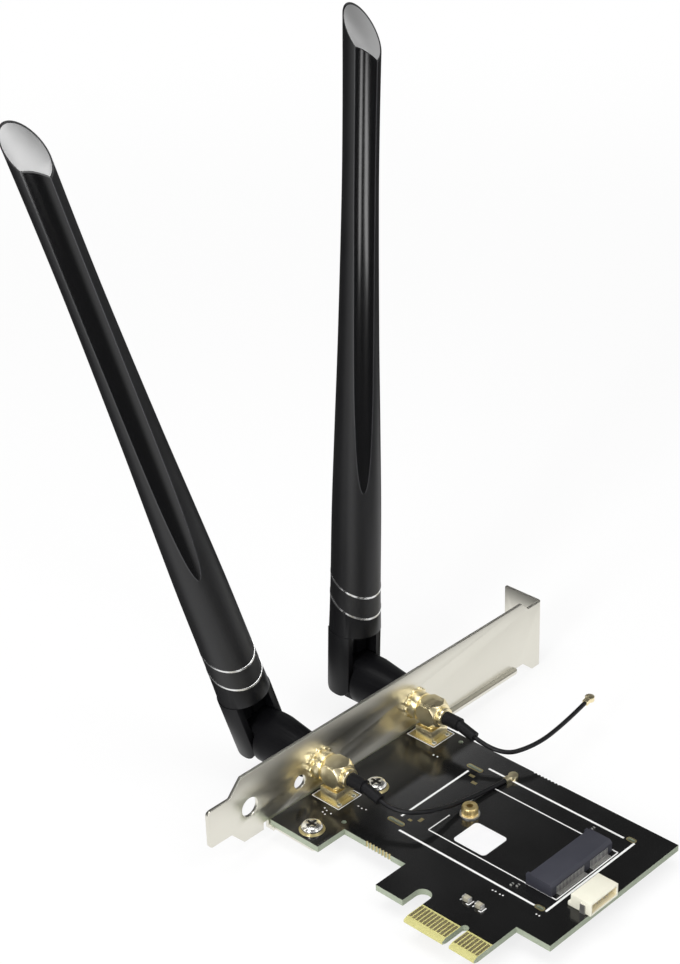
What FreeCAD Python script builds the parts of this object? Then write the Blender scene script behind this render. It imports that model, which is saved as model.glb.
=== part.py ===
"""Slot card with a module socket, a slot bracket and two swivelling, tilting rod antennas.

Millimetres. The origin is the middle of the key notch at the bottom edge of the contact tongue,
on the component face of the board. X leads from the bracket into the computer, Y along the bracket
towards its screw tab, Z out of the component face.
"""
import math
import os

import FreeCAD
import Part

V = FreeCAD.Vector

# Board
BOARD_T = 1.6
BOARD_LEFT = -59.1
BOARD_RIGHT = 17.4
BOARD_FRONT = 14.16
BOARD_BACK = 60.63
LUG_RIGHT = -43.6
LUG_FRONT = 5.32
FOOT_LEFT = -24.46
FOOT_RIGHT = -16.36
FOOT_FRONT = 4.26
HOOK_END = 10.66
TONGUE_LEFT = -12.15
TONGUE_RIGHT = 8.05
NOTCH_W = 1.9
NOTCH_END = 7.3
BEVEL_LENGTH = 1.3
BEVEL_DEPTH = 0.45
HOOK_FLAT = 0.1
SCREW_X = -49.2
SCREW_YS = (9.16, 31.0)
SCREW_CLEARANCE_R = 1.5
TOOLING_HOLES = ((-45.5, 16.02), (-46.2, 58.36))
TOOLING_R = 0.6
SHIELD_SLOTS = ((-36.55, 52.4, 4.2), (-36.6, 24.3, 4.4), (8.3, 55.0, 2.0), (7.8, 22.5, 2.0))
SHIELD_SLOT_W = 0.9
TEETH_X = (-36.4, -29.4)
BITES_X = (-24.6, -17.4)
TOOTH_R = 0.3
TOOTH_COUNT = 8

# Plating on the board
PLATING = 0.05
CONTACT_PITCH = 1.0
CONTACT_W = 0.7
CONTACT_Y = (1.3, 5.7)
CONTACTS_LEFT = 11
CONTACTS_RIGHT = 7
CONTACT_KEY_GAP = 0.6
SCREW_PAD_R = 3.1
JACK_PAD_X = (-58.2, -50.0)
JACK_PAD_W = 7.2
PAD_HOLE_R = 0.4
PAD_HOLE_INSET = (0.8, 1.15)
SLOT_RIM = 0.3
TEST_PADS = ((-32.8, 47.7, 1.5, 0.9), (-35.0, 49.5, 1.5, 0.8), (-32.6, 28.5, 0.9, 1.5),
             (-34.5, 26.8, 1.0, 0.7))

# Bracket
SHEET = 0.86
BRACKET_X = -59.4
BRACKET_TOP = 16.15
BRACKET_LOW = -2.1
BLADE_END = -13.64
BLADE_SHOULDER = -6.64
BLADE_Z = (2.0, 12.1)
BLADE_WIDE = -2.84
RELIEF_Y = (3.4, 4.9)
RELIEF_TOP = -0.1
TAB_TOP = 13.57
TAB_LOW = -5.75
TAB_STEP_Y = (97.61, 100.26)
TAB_END = 105.92
TAB_REACH = 11.9
EAR_Y = (98.4, 102.2)
LIP_X = -57.7
LIP_END = 94.66
SCREW_TAB_X = -44.9
SCREW_TAB_W = 7.2
TAB_NOTCH_REACH = 6.35
TAB_NOTCH_X = BRACKET_X - TAB_NOTCH_REACH
TAB_NOTCH_W = 4.42
TAB_NOTCH_END = -0.6
SPARE_HOLES = ((-23.0, -0.31, 2.5), (-6.7, -2.15, 1.85))
BEND_R = 1.2

# Board screws
SCREW_R = 1.25
SCREW_LENGTH = 3.6
SCREW_HEAD_R = 2.6
SCREW_HEAD_H = 1.7
CROSS_W = 0.75
CROSS_L = 3.0
CROSS_DEPTH = 0.9

# Module socket, post, USB header
MODULE_Y = 37.8
SOCKET_X = (1.0, 7.5)
SOCKET_W = 21.9
SOCKET_H = 3.2
SOCKET_LIP_X = 0.2
SOCKET_LIP_H = 1.1
SOCKET_MOUTH_Z = (1.15, 2.15)
SOCKET_STOP_X = 4.4
SOCKET_CHEEK = 0.9
CHEEK_DROP = 0.3
SOCKET_BEVEL = 0.7
TAIL_LENGTH = 1.0
TAIL_W = 0.26
TAIL_H = 0.3
TAIL_PITCH = 0.5
TAIL_MARGIN = 1.0
TAIL_KEY = (0.75, 2.75)
BLADE_H = 0.2
BLADE_SETBACK = 0.8
POST_X = -25.6
POST_R = 2.0
POST_TOP = 2.5
POST_NECK_R = 1.6
POST_CONE = (0.7, 0.9, -0.55)
POST_RING_R = 2.4
POST_RING_H = 0.4
POST_BORE_R = 0.8
KNURLS = 24
KNURL_DEPTH = 0.16
HEADER_X = (12.4, 18.0)
HEADER_Y = (27.4, 37.2)
HEADER_H = 3.4
HEADER_WALL = 0.55
HEADER_BACK = 1.9
HEADER_STEP_X = 11.6
HEADER_STEP_H = 1.0
HEADER_PINS = 4
HEADER_PITCH = 1.25
HEADER_PIN_W = 0.45
HEADER_PIN_SETBACK = 0.6
HEADER_TAIL = (1.1, 0.3)
HEADER_TAB_X = (2.8, 4.2)
HEADER_TAB_T = 0.35
HEADER_TAB_H = 2.5

# Chips and label
CAPACITORS = ((-5.7, 13.7), (-2.1, 13.7))
CAPACITOR_SIZE = (2.0, 1.25, 1.1)
RESISTORS = ((-0.5, 25.0), (-1.75, 24.4), (-0.75, 52.4))
RESISTOR_SIZE = (0.55, 1.0, 0.4)
TERMINAL_L = 0.3
LABEL_X = (-22.4, -12.9)
LABEL_Y = (27.9, 36.5)
LABEL_T = 0.1
LABEL_R = 1.0

# Antenna jacks
JACK_YS = {"main": 22.41, "aux": 56.11}
JACK_Z = 7.0
BARREL_R = 3.175
BARREL_REACH = 11.1
BARREL_END = BRACKET_X - BARREL_REACH
BARREL_BORE_R = 2.05
WASHER_T = 0.65
WASHER_R = 4.1
WASHER_TEETH = 12
WASHER_TOOTH = 0.5
JACK_COLLAR_R = 3.5
JACK_COLLAR_L = 2.3
JACK_SQUARE = 6.1
JACK_BODY_REACH = 8.9
JACK_BODY_END = BRACKET_X + JACK_BODY_REACH
JACK_BODY_R = 4.0
JACK_BODY_CHAMFER = 1.5
JACK_FOOT_W = 5.8
JACK_FOOT_TOP = 3.2
JACK_FOOT_SETBACK = 0.7
JACK_STEM_INSET = 0.9
JACK_NECK_R = 2.0
JACK_SHOULDER = 0.3
INSULATOR_SETBACK = 0.8
JACK_PIN_SETBACK = 0.3
FERRULE_GAP = 0.2
FERRULE_L = 1.2
FERRULE_X = (JACK_BODY_END + FERRULE_GAP, JACK_BODY_END + FERRULE_GAP + FERRULE_L)
FERRULE_R = 2.4
JACK_PIN_R = 0.46
NUT_AF = 8.0
NUT_T = 2.04
NUT_CHAMFER = 0.35
SLEEVE_R = 1.7
SLEEVE_BEND_X = -45.2
SLEEVE_STEP = 0.6
SLEEVE_THIN_R = 1.35
SLEEVE_END = (-39.8, 5.55)

# Pigtails, from the sleeve's end to the plug
CABLE_R = 0.565
CABLE_START = {"main": 4.35, "aux": 7.9}
CABLE_TURNS = {
    "main": ((-29.5, 26.56, 4.6), (-28.8, 40.96, 0.62), (-27.3, 52.66, 0.62)),
    "aux": ((-27.4, 64.36, 4.6), (-28.5, 77.36, 4.3), (-30.0, 86.56, 4.4)),
}
CORNER_SHARE = 0.45
PLUG_R = 1.2
PLUG_H = 1.15
PLUG_TAIL = 2.0
PLUG_TAIL_W = 1.4

# Antennas: distances along the rod are measured from its hinge
HINGE_REACH = 9.4
PIVOT_X = BARREL_END - HINGE_REACH
SWIVEL_DEG = {"main": 15.8, "aux": -2.9}
LEAN_DEG = {"main": -3.7, "aux": 0.0}
SKIRT_CLEARANCE = 2.44
SKIRT_END = BRACKET_X - SHEET - SKIRT_CLEARANCE
SKIRT_R = 5.2
SKIRT_BORE_R = 4.45
NUT_RUNNING_GAP = 0.08
COUPLING_INSET = 0.2
COUPLING_START = SKIRT_END - COUPLING_INSET
COUPLING_FLOOR_GAP = 0.4
COUPLING_WALL = 1.1
COUPLING_END_GAP = 0.2
COUPLING_FLOOR = BARREL_END - COUPLING_FLOOR_GAP
COUPLING_END = COUPLING_FLOOR - COUPLING_WALL
SKIRT_BORE_END = COUPLING_END - COUPLING_END_GAP
KNUCKLE_R = 6.5
KNUCKLE_SHOULDER = 6.8
NOSE_R = 4.8
NOSE_GAP = 0.4
TONGUE_HALF = 4.1
LEG_GAP = 0.1
LEG_R = 6.75
LEG_FRONT = 3.4
LEG_BACK = 4.9
LEG_DROP = 3.6
LEG_CORNER = 2.4
LEG_STEP = 4.4
PIN_R = 1.25
PIN_GAP = 0.07
PIN_REACH = 5.6
SHOULDER = 13.4
TIP_AT = 163.4
TIP_RUN = 18.6
ROD_PROFILE = ((SHOULDER, 6.55), (24.0, 6.3), (47.0, 6.05), (69.0, 5.5), (91.0, 4.9),
               (126.0, 4.28), (145.0, 4.22), (165.0, 4.38), (TIP_AT + TIP_RUN, 4.65))
RING_AT = (21.5, 27.3)
RING_T = 0.5
RING_PROUD = 0.07
RING_SLANT = 25.0
TIP_SLANT = 53.5
CAP_T = 0.9
CAP_RIM = 0.3
FLUTE_R = 9.0
FLUTE_AZIMUTH = -30.0
FLUTE_DEPTH = ((48.0, -0.3), (60.0, 0.35), (75.0, 0.8), (91.0, 1.0), (110.0, 1.1),
               (126.0, 1.2), (145.0, 1.25), (165.0, 1.3), (TIP_AT + TIP_RUN, 1.3))
FORK_FLOOR = 2.5
TIP_SOLID = 13.4
HOLLOW_PROFILE = ((SHOULDER + FORK_FLOOR, 5.0), (47.0, 4.75), (69.0, 4.0), (91.0, 2.9), (126.0, 1.9),
                  (TIP_AT - TIP_SOLID, 1.8))
FEED_R = 0.65
FEED_END = 62.0
STRIP_LAP = 4.0
STRIP_W = 3.0
STRIP_T = 0.8
STRIP_TIP_GAP = 8.0
STRIP_END = TIP_AT - TIP_SOLID - STRIP_TIP_GAP

BRACKET_OUT = BRACKET_X - SHEET
BOARD_UNDER = -BOARD_T


def box(xs, ys, zs):
    """Block between two limits on each axis."""
    x0, x1 = sorted(xs)
    y0, y1 = sorted(ys)
    z0, z1 = sorted(zs)
    return Part.makeBox(x1 - x0, y1 - y0, z1 - z0, V(x0, y0, z0))


def rod(radius, start, end):
    """Round bar between two points."""
    axis = V(*end) - V(*start)
    return Part.makeCylinder(radius, axis.Length, V(*start), axis)


def prism(points, axis, low, high):
    """Polygon pushed from low to high along one axis; its points are on the other two axes in order."""
    corners = []
    for a, b in points:
        corner = {"x": V(low, a, b), "y": V(a, low, b), "z": V(a, b, low)}[axis]
        corners.append(corner)
    corners.append(corners[0])
    push = {"x": V(1, 0, 0), "y": V(0, 1, 0), "z": V(0, 0, 1)}[axis] * (high - low)
    return Part.Face(Part.makePolygon(corners)).extrude(push)


def fuse(shapes):
    """One clean solid from touching shapes."""
    first = shapes[0]
    return first.multiFuse(shapes[1:]).removeSplitter()


def cut(shape, tools):
    return shape.cut(Part.makeCompound(tools))


def rounded_edges(shape, radius, wanted):
    """Round each straight edge that the test picks by its middle point and direction."""
    edges = []
    for edge in shape.Edges:
        if len(edge.Vertexes) != 2:
            continue
        middle = edge.CenterOfMass
        along = edge.Vertexes[1].Point - edge.Vertexes[0].Point
        if wanted(middle, along):
            edges.append(edge)
    return shape.makeFillet(radius, edges)


def turned(points, origin, axis):
    """Solid turned from (distance along the axis, radius) points."""
    outline = [V(r, 0, s) for s, r in points]
    outline.append(V(0, 0, points[-1][0]))
    outline.insert(0, V(0, 0, points[0][0]))
    outline.append(outline[0])
    solid = Part.Face(Part.makePolygon(outline)).revolve(V(0, 0, 0), V(0, 0, 1), 360)
    solid.Placement = FreeCAD.Placement(V(*origin), FreeCAD.Rotation(V(0, 0, 1), V(*axis)))
    return solid


def turned_smooth(profile):
    """Solid turned about Z from a smooth curve through (height, radius) points."""
    curve = Part.BSplineCurve()
    curve.interpolate([V(r, 0, s) for s, r in profile])
    low = profile[0][0]
    high = profile[-1][0]
    lines = [
        Part.makeLine(V(0, 0, low), V(profile[0][1], 0, low)),
        curve.toShape(),
        Part.makeLine(V(profile[-1][1], 0, high), V(0, 0, high)),
        Part.makeLine(V(0, 0, high), V(0, 0, low)),
    ]
    return Part.Face(Part.Wire(lines)).revolve(V(0, 0, 0), V(0, 0, 1), 360)


def spread(first, last, count):
    """Even positions from first to last."""
    return [first + (last - first) * i / (count - 1) for i in range(count)]


def slot_tool(x, y, length, width, low, high):
    """Round-ended slot along X."""
    half = (length - width) / 2
    radius = width / 2
    ends = [rod(radius, (x + side * half, y, low), (x + side * half, y, high)) for side in (-1, 1)]
    return fuse(ends + [box((x - half, x + half), (y - radius, y + radius), (low, high))])


def jack_pad_holes():
    """Places of the two plated holes at the inner end of each jack's pad."""
    from_end, from_side = PAD_HOLE_INSET
    out = JACK_PAD_W / 2 - from_side
    return [(JACK_PAD_X[1] - from_end, y + side * out) for y in JACK_YS.values() for side in (-1, 1)]


def make_board():
    outline = [
        (BOARD_LEFT, LUG_FRONT), (LUG_RIGHT, LUG_FRONT), (LUG_RIGHT, BOARD_FRONT),
        (FOOT_LEFT, BOARD_FRONT), (FOOT_LEFT, FOOT_FRONT), (FOOT_RIGHT, FOOT_FRONT),
        (FOOT_RIGHT, HOOK_END), (TONGUE_LEFT, HOOK_END), (TONGUE_LEFT, 0.0),
        (TONGUE_RIGHT, 0.0), (TONGUE_RIGHT, BOARD_FRONT), (BOARD_RIGHT, BOARD_FRONT),
        (BOARD_RIGHT, BOARD_BACK), (BOARD_LEFT, BOARD_BACK),
    ]
    board = prism(outline, "z", BOARD_UNDER, 0.0)

    def hook_corner(middle, along):
        return abs(along.z) > 1 and abs(middle.y - HOOK_END) < 0.01
    hook_r = (TONGUE_LEFT - FOOT_RIGHT - HOOK_FLAT) / 2
    board = rounded_edges(board, hook_r, hook_corner)

    below = BOARD_UNDER - 1
    notch_r = NOTCH_W / 2
    tools = [
        box((-notch_r, notch_r), (-1, NOTCH_END - notch_r), (below, 1)),
        rod(notch_r, (0, NOTCH_END - notch_r, below), (0, NOTCH_END - notch_r, 1)),
    ]
    for y in SCREW_YS:
        tools.append(rod(SCREW_CLEARANCE_R, (SCREW_X, y, below), (SCREW_X, y, 1)))
    for x, y in TOOLING_HOLES:
        tools.append(rod(TOOLING_R, (x, y, below), (x, y, 1)))
    for x, y, length in SHIELD_SLOTS:
        tools.append(slot_tool(x, y, length, SHIELD_SLOT_W, below, 1))
    for x, y in jack_pad_holes():
        tools.append(rod(PAD_HOLE_R, (x, y, below), (x, y, 1)))
    for x in spread(*TEETH_X, TOOTH_COUNT):
        tools.append(rod(TOOTH_R, (x, BOARD_FRONT, below), (x, BOARD_FRONT, 1)))
    for x in spread(*BITES_X, TOOTH_COUNT):
        tools.append(rod(TOOTH_R, (x, BOARD_BACK, below), (x, BOARD_BACK, 1)))
    for face, inward in ((0.0, -1), (BOARD_UNDER, 1)):
        wedge = [(0, face), (BEVEL_LENGTH, face), (0, face + inward * BEVEL_DEPTH)]
        tools.append(prism(wedge, "x", TONGUE_LEFT - 1, TONGUE_RIGHT + 1))
    return cut(board, tools)


def make_edge_contacts():
    pads = []
    left = [-NOTCH_W / 2 - CONTACT_KEY_GAP - CONTACT_PITCH * i for i in range(CONTACTS_LEFT)]
    right = [NOTCH_W / 2 + CONTACT_KEY_GAP + CONTACT_PITCH * i for i in range(CONTACTS_RIGHT)]
    for x in left + right:
        across = (x - CONTACT_W / 2, x + CONTACT_W / 2)
        pads.append(box(across, CONTACT_Y, (0, PLATING)))
        pads.append(box(across, CONTACT_Y, (BOARD_UNDER - PLATING, BOARD_UNDER)))
    return Part.makeCompound(pads)


def make_plated_pads():
    pads = []
    for y in SCREW_YS:
        ring = rod(SCREW_PAD_R, (SCREW_X, y, 0), (SCREW_X, y, PLATING))
        pads.append(ring.cut(rod(SCREW_CLEARANCE_R, (SCREW_X, y, -1), (SCREW_X, y, 1))))
    holes = [rod(PAD_HOLE_R, (x, y, -1), (x, y, 1)) for x, y in jack_pad_holes()]
    for y in JACK_YS.values():
        pad = box(JACK_PAD_X, (y - JACK_PAD_W / 2, y + JACK_PAD_W / 2), (0, PLATING))
        pads.append(cut(pad, holes))
    for x, y, length in SHIELD_SLOTS:
        rim = slot_tool(x, y, length + 2 * SLOT_RIM, SHIELD_SLOT_W + 2 * SLOT_RIM, 0, PLATING)
        pads.append(rim.cut(slot_tool(x, y, length, SHIELD_SLOT_W, -1, 1)))
    for x, y, length, width in TEST_PADS:
        pads.append(box((x - length / 2, x + length / 2), (y - width / 2, y + width / 2), (0, PLATING)))
    return Part.makeCompound(pads)


def make_bracket():
    lip_under = BOARD_UNDER - SHEET
    profile = [
        (BLADE_END, BLADE_Z[0]), (BLADE_SHOULDER, BLADE_Z[0]), (BLADE_WIDE, BRACKET_LOW),
        (RELIEF_Y[0], BRACKET_LOW), (RELIEF_Y[0], RELIEF_TOP), (RELIEF_Y[1], RELIEF_TOP),
        (RELIEF_Y[1], lip_under), (EAR_Y[0], lip_under), (EAR_Y[1], TAB_LOW), (TAB_END, TAB_LOW),
        (TAB_END, TAB_TOP), (TAB_STEP_Y[1], TAB_TOP), (TAB_STEP_Y[0], BRACKET_TOP),
        (BLADE_WIDE, BRACKET_TOP), (BLADE_SHOULDER, BLADE_Z[1]), (BLADE_END, BLADE_Z[1]),
    ]
    plate = prism(profile, "x", BRACKET_OUT, BRACKET_X)
    tab = box((BRACKET_X - TAB_REACH, BRACKET_X), (TAB_END - SHEET, TAB_END), (TAB_LOW, TAB_TOP))
    lip = box((BRACKET_OUT, LIP_X), (RELIEF_Y[1], LIP_END), (lip_under, BOARD_UNDER))
    screw_tabs = []
    for y in SCREW_YS:
        half = SCREW_TAB_W / 2
        screw_tabs.append(box((BRACKET_OUT, SCREW_TAB_X), (y - half, y + half), (lip_under, BOARD_UNDER)))
    bracket = fuse([plate, tab, lip] + screw_tabs)

    def tab_bend(middle, along):
        return abs(along.z) > 5 and abs(middle.x - BRACKET_X) < 0.01 and abs(middle.y - TAB_END) < 0.01

    def lip_corner(middle, along):
        upright = 0.5 < abs(along.z) < 1 and abs(along.x) + abs(along.y) < 0.01
        at_tab = abs(middle.x - SCREW_TAB_X) < 0.01
        at_end = abs(middle.x - LIP_X) < 0.01 and abs(middle.y - LIP_END) < 0.01
        return upright and (at_tab or at_end)
    bracket = rounded_edges(bracket, BEND_R, tab_bend)
    bracket = rounded_edges(bracket, BEND_R, lip_corner)

    def blade_corner(middle, along):
        return abs(along.x) > 0.5 and abs(middle.y - BLADE_END) < 0.01
    bracket = rounded_edges(bracket, BEND_R, blade_corner)

    tools = []
    for y in JACK_YS.values():
        tools.append(rod(BARREL_R, (BRACKET_OUT - 1, y, JACK_Z), (BRACKET_X + 1, y, JACK_Z)))
    for across, up, radius in SPARE_HOLES:
        y = JACK_YS["main"] + across
        z = JACK_Z + up
        tools.append(rod(radius, (BRACKET_OUT - 1, y, z), (BRACKET_X + 1, y, z)))
    for y in SCREW_YS:
        tools.append(rod(SCREW_R, (SCREW_X, y, lip_under - 1), (SCREW_X, y, BOARD_UNDER + 1)))
    half = TAB_NOTCH_W / 2
    top = TAB_NOTCH_END - half
    across = (TAB_END - 2 * SHEET, TAB_END + SHEET)
    tools.append(box((TAB_NOTCH_X - half, TAB_NOTCH_X + half), across, (TAB_LOW - 1, top)))
    tools.append(rod(half, (TAB_NOTCH_X, across[0], top), (TAB_NOTCH_X, across[1], top)))
    return cut(bracket, tools)


def make_board_screws():
    screws = []
    for y in SCREW_YS:
        seat = PLATING
        profile = [
            (seat - SCREW_LENGTH, SCREW_R), (seat, SCREW_R), (seat, SCREW_HEAD_R),
            (seat + 0.55 * SCREW_HEAD_H, SCREW_HEAD_R), (seat + 0.85 * SCREW_HEAD_H, 0.84 * SCREW_HEAD_R),
            (seat + SCREW_HEAD_H, 0.55 * SCREW_HEAD_R),
        ]
        screw = turned(profile, (SCREW_X, y, 0), (0, 0, 1))
        top = seat + SCREW_HEAD_H
        depth = (top - CROSS_DEPTH, top + 1)
        long_half = CROSS_L / 2
        thin_half = CROSS_W / 2
        arms = [
            box((SCREW_X - long_half, SCREW_X + long_half), (y - thin_half, y + thin_half), depth),
            box((SCREW_X - thin_half, SCREW_X + thin_half), (y - long_half, y + long_half), depth),
        ]
        screws.append(cut(screw, arms))
    return Part.makeCompound(screws)


def make_m2_socket():
    y0 = MODULE_Y - SOCKET_W / 2
    y1 = MODULE_Y + SOCKET_W / 2
    body = box(SOCKET_X, (y0, y1), (0, SOCKET_H))
    lip = box((SOCKET_LIP_X, SOCKET_X[0]), (y0, y1), (0, SOCKET_LIP_H))
    cheeks = []
    for edge, inward in ((y0, SOCKET_CHEEK), (y1, -SOCKET_CHEEK)):
        cheeks.append(box((SOCKET_LIP_X, SOCKET_X[0]), (edge, edge + inward), (0, SOCKET_H - CHEEK_DROP)))
    socket = fuse([body, lip] + cheeks)
    mouth = box((SOCKET_LIP_X - 1, SOCKET_STOP_X), (y0 + SOCKET_CHEEK, y1 - SOCKET_CHEEK), SOCKET_MOUTH_Z)
    back = SOCKET_X[1]
    back_edge = [(back, SOCKET_H), (back - SOCKET_BEVEL, SOCKET_H), (back, SOCKET_H - SOCKET_BEVEL)]
    bevel = prism(back_edge, "y", y0 - 1, y1 + 1)
    return cut(socket, [mouth, bevel])


def make_m2_contacts():
    pieces = []
    room = SOCKET_W - 2 * SOCKET_CHEEK - 2 * TAIL_MARGIN
    count = int(room / TAIL_PITCH) + 1
    first = -TAIL_PITCH * (count - 1) / 2
    for i in range(count):
        offset = first + TAIL_PITCH * i
        if TAIL_KEY[0] < offset < TAIL_KEY[1]:
            continue
        y = MODULE_Y + offset
        across = (y - TAIL_W / 2, y + TAIL_W / 2)
        pieces.append(box((SOCKET_X[1], SOCKET_X[1] + TAIL_LENGTH), across, (0, TAIL_H)))
        ceiling = SOCKET_MOUTH_Z[1]
        pieces.append(box((SOCKET_X[0] + BLADE_SETBACK, SOCKET_STOP_X), across, (ceiling - BLADE_H, ceiling)))
    return Part.makeCompound(pieces)


def make_m2_standoff():
    points = []
    for i in range(2 * KNURLS):
        angle = math.pi * i / KNURLS
        radius = POST_R - KNURL_DEPTH * (i % 2)
        points.append((POST_X + radius * math.cos(angle), MODULE_Y + radius * math.sin(angle)))
    post = prism(points, "z", POST_RING_H, POST_TOP)
    wide, above, narrow = POST_CONE
    cone = turned([(0, POST_R + wide), (POST_TOP + above, POST_R + narrow)], (POST_X, MODULE_Y, 0), (0, 0, 1))
    neck = rod(POST_NECK_R, (POST_X, MODULE_Y, 0), (POST_X, MODULE_Y, POST_RING_H))
    post = fuse([post.common(cone), neck])
    return post.cut(rod(POST_BORE_R, (POST_X, MODULE_Y, 0), (POST_X, MODULE_Y, POST_TOP + 1)))


def make_standoff_ring():
    ring = rod(POST_RING_R, (POST_X, MODULE_Y, 0), (POST_X, MODULE_Y, POST_RING_H))
    return ring.cut(rod(POST_NECK_R, (POST_X, MODULE_Y, -1), (POST_X, MODULE_Y, 1)))


def make_usb_header():
    housing = box(HEADER_X, HEADER_Y, (0, HEADER_H))
    step = box((HEADER_STEP_X, HEADER_X[0]), HEADER_Y, (0, HEADER_STEP_H))
    cavity = box((HEADER_X[0] + HEADER_BACK, HEADER_X[1] + 1),
                 (HEADER_Y[0] + HEADER_WALL, HEADER_Y[1] - HEADER_WALL),
                 (HEADER_WALL, HEADER_H - HEADER_WALL))
    return cut(fuse([housing, step]), [cavity])


def make_usb_pins():
    pieces = []
    middle = sum(HEADER_Y) / 2
    span = HEADER_PITCH * (HEADER_PINS - 1) / 2
    half = HEADER_PIN_W / 2
    centre_z = HEADER_H / 2
    back = HEADER_X[0] + HEADER_BACK
    for y in spread(middle - span, middle + span, HEADER_PINS):
        across = (y - half, y + half)
        upright = (centre_z - half, centre_z + half)
        pieces.append(box((back, HEADER_X[1] - HEADER_PIN_SETBACK), across, upright))
        pieces.append(box((HEADER_STEP_X - HEADER_TAIL[0], HEADER_STEP_X), across, (0, HEADER_TAIL[1])))
    tab_x = [HEADER_X[0] + offset for offset in HEADER_TAB_X]
    for edge, out in ((HEADER_Y[0], -HEADER_TAB_T), (HEADER_Y[1], HEADER_TAB_T)):
        pieces.append(box(tab_x, (edge, edge + out), (0, HEADER_TAB_H)))
    return Part.makeCompound(pieces)


def chip(place, size, part):
    """Body of a chip, or the two soldered ends of its longer side."""
    spans = [(middle - width / 2, middle + width / 2) for middle, width in zip(place, size)]
    long_way = 0 if size[0] > size[1] else 1
    start, stop = spans[long_way]
    lengths = {
        "body": [(start + TERMINAL_L, stop - TERMINAL_L)],
        "ends": [(start, start + TERMINAL_L), (stop - TERMINAL_L, stop)],
    }
    pieces = []
    for length in lengths[part]:
        spans[long_way] = length
        pieces.append(box(spans[0], spans[1], (0, size[2])))
    return pieces


def make_chips(places, size, part):
    pieces = []
    for place in places:
        pieces.extend(chip(place, size, part))
    return pieces


def make_label():
    sheet = box(LABEL_X, LABEL_Y, (0, LABEL_T))
    return rounded_edges(sheet, LABEL_R, lambda middle, along: abs(along.z) > LABEL_T / 2)


def make_jack(y):
    """Threaded barrel, collar, square block with turned ends, rear neck and the foot on the board."""
    collar_start = BRACKET_X + WASHER_T
    block_start = collar_start + JACK_COLLAR_L
    half = JACK_SQUARE / 2
    square = box((block_start, JACK_BODY_END), (y - half, y + half), (JACK_Z - half, JACK_Z + half))
    length = JACK_BODY_END - block_start
    turned_ends = [(0, half), (JACK_BODY_CHAMFER, JACK_BODY_R), (length - JACK_BODY_CHAMFER, JACK_BODY_R),
                   (length, half)]
    block = square.common(turned(turned_ends, (block_start, y, JACK_Z), (1, 0, 0)))
    collar = rod(JACK_COLLAR_R, (collar_start, y, JACK_Z), (block_start, y, JACK_Z))
    barrel = rod(BARREL_R, (BARREL_END, y, JACK_Z), (block_start, y, JACK_Z))
    neck = rod(JACK_NECK_R, (JACK_BODY_END - 1, y, JACK_Z), (FERRULE_X[1], y, JACK_Z))
    shoulder = rod(FERRULE_R + JACK_SHOULDER, (JACK_BODY_END - 1, y, JACK_Z), (FERRULE_X[0], y, JACK_Z))
    foot_x = (block_start, JACK_BODY_END - JACK_FOOT_SETBACK)
    foot_half = JACK_FOOT_W / 2
    foot = box(foot_x, (y - foot_half, y + foot_half), (PLATING, JACK_FOOT_TOP))
    stem_x = (foot_x[0] + JACK_STEM_INSET, foot_x[1] - JACK_STEM_INSET)
    stem_half = foot_half - JACK_STEM_INSET
    stem = box(stem_x, (y - stem_half, y + stem_half), (PLATING, JACK_Z))
    bore = rod(BARREL_BORE_R, (BARREL_END - 1, y, JACK_Z), (BRACKET_OUT, y, JACK_Z))
    return fuse([block, collar, barrel, neck, shoulder, foot, stem]).cut(bore)


def make_jack_insulator(y):
    core = rod(BARREL_BORE_R, (BARREL_END + INSULATOR_SETBACK, y, JACK_Z), (BRACKET_OUT, y, JACK_Z))
    return core.cut(rod(JACK_PIN_R, (BARREL_END, y, JACK_Z), (BRACKET_X, y, JACK_Z)))


def make_jack_pin(y):
    return rod(JACK_PIN_R, (BARREL_END + JACK_PIN_SETBACK, y, JACK_Z), (BRACKET_OUT, y, JACK_Z))


def make_lock_washers():
    washers = []
    for y in JACK_YS.values():
        points = []
        for i in range(4 * WASHER_TEETH):
            angle = 2 * math.pi * i / (4 * WASHER_TEETH)
            radius = WASHER_R if i % 4 in (0, 1) else WASHER_R - WASHER_TOOTH
            points.append((y + radius * math.cos(angle), JACK_Z + radius * math.sin(angle)))
        washer = prism(points, "x", BRACKET_X, BRACKET_X + WASHER_T)
        hole = rod(BARREL_R, (BRACKET_X - 1, y, JACK_Z), (BRACKET_X + 2, y, JACK_Z))
        washers.append(washer.cut(hole))
    return Part.makeCompound(washers)


def make_jack_nuts():
    nuts = []
    radius = NUT_AF / 2 / math.cos(math.pi / 6)
    for y in JACK_YS.values():
        points = []
        for i in range(6):
            angle = math.pi * i / 3
            points.append((y + radius * math.cos(angle), JACK_Z + radius * math.sin(angle)))
        nut = prism(points, "x", BRACKET_OUT - NUT_T, BRACKET_OUT)
        corner_cone = turned([(0, NUT_AF / 2), (NUT_CHAMFER, radius), (NUT_T, radius)],
                             (BRACKET_OUT - NUT_T, y, JACK_Z), (1, 0, 0))
        hole = rod(BARREL_R, (BRACKET_OUT - NUT_T - 1, y, JACK_Z), (BRACKET_X, y, JACK_Z))
        nuts.append(nut.common(corner_cone).cut(hole))
    return Part.makeCompound(nuts)


def make_ferrule(y):
    ring = rod(FERRULE_R, (FERRULE_X[0], y, JACK_Z), (FERRULE_X[1], y, JACK_Z))
    return ring.cut(rod(JACK_NECK_R, (FERRULE_X[0] - 1, y, JACK_Z), (FERRULE_X[1] + 1, y, JACK_Z)))


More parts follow.
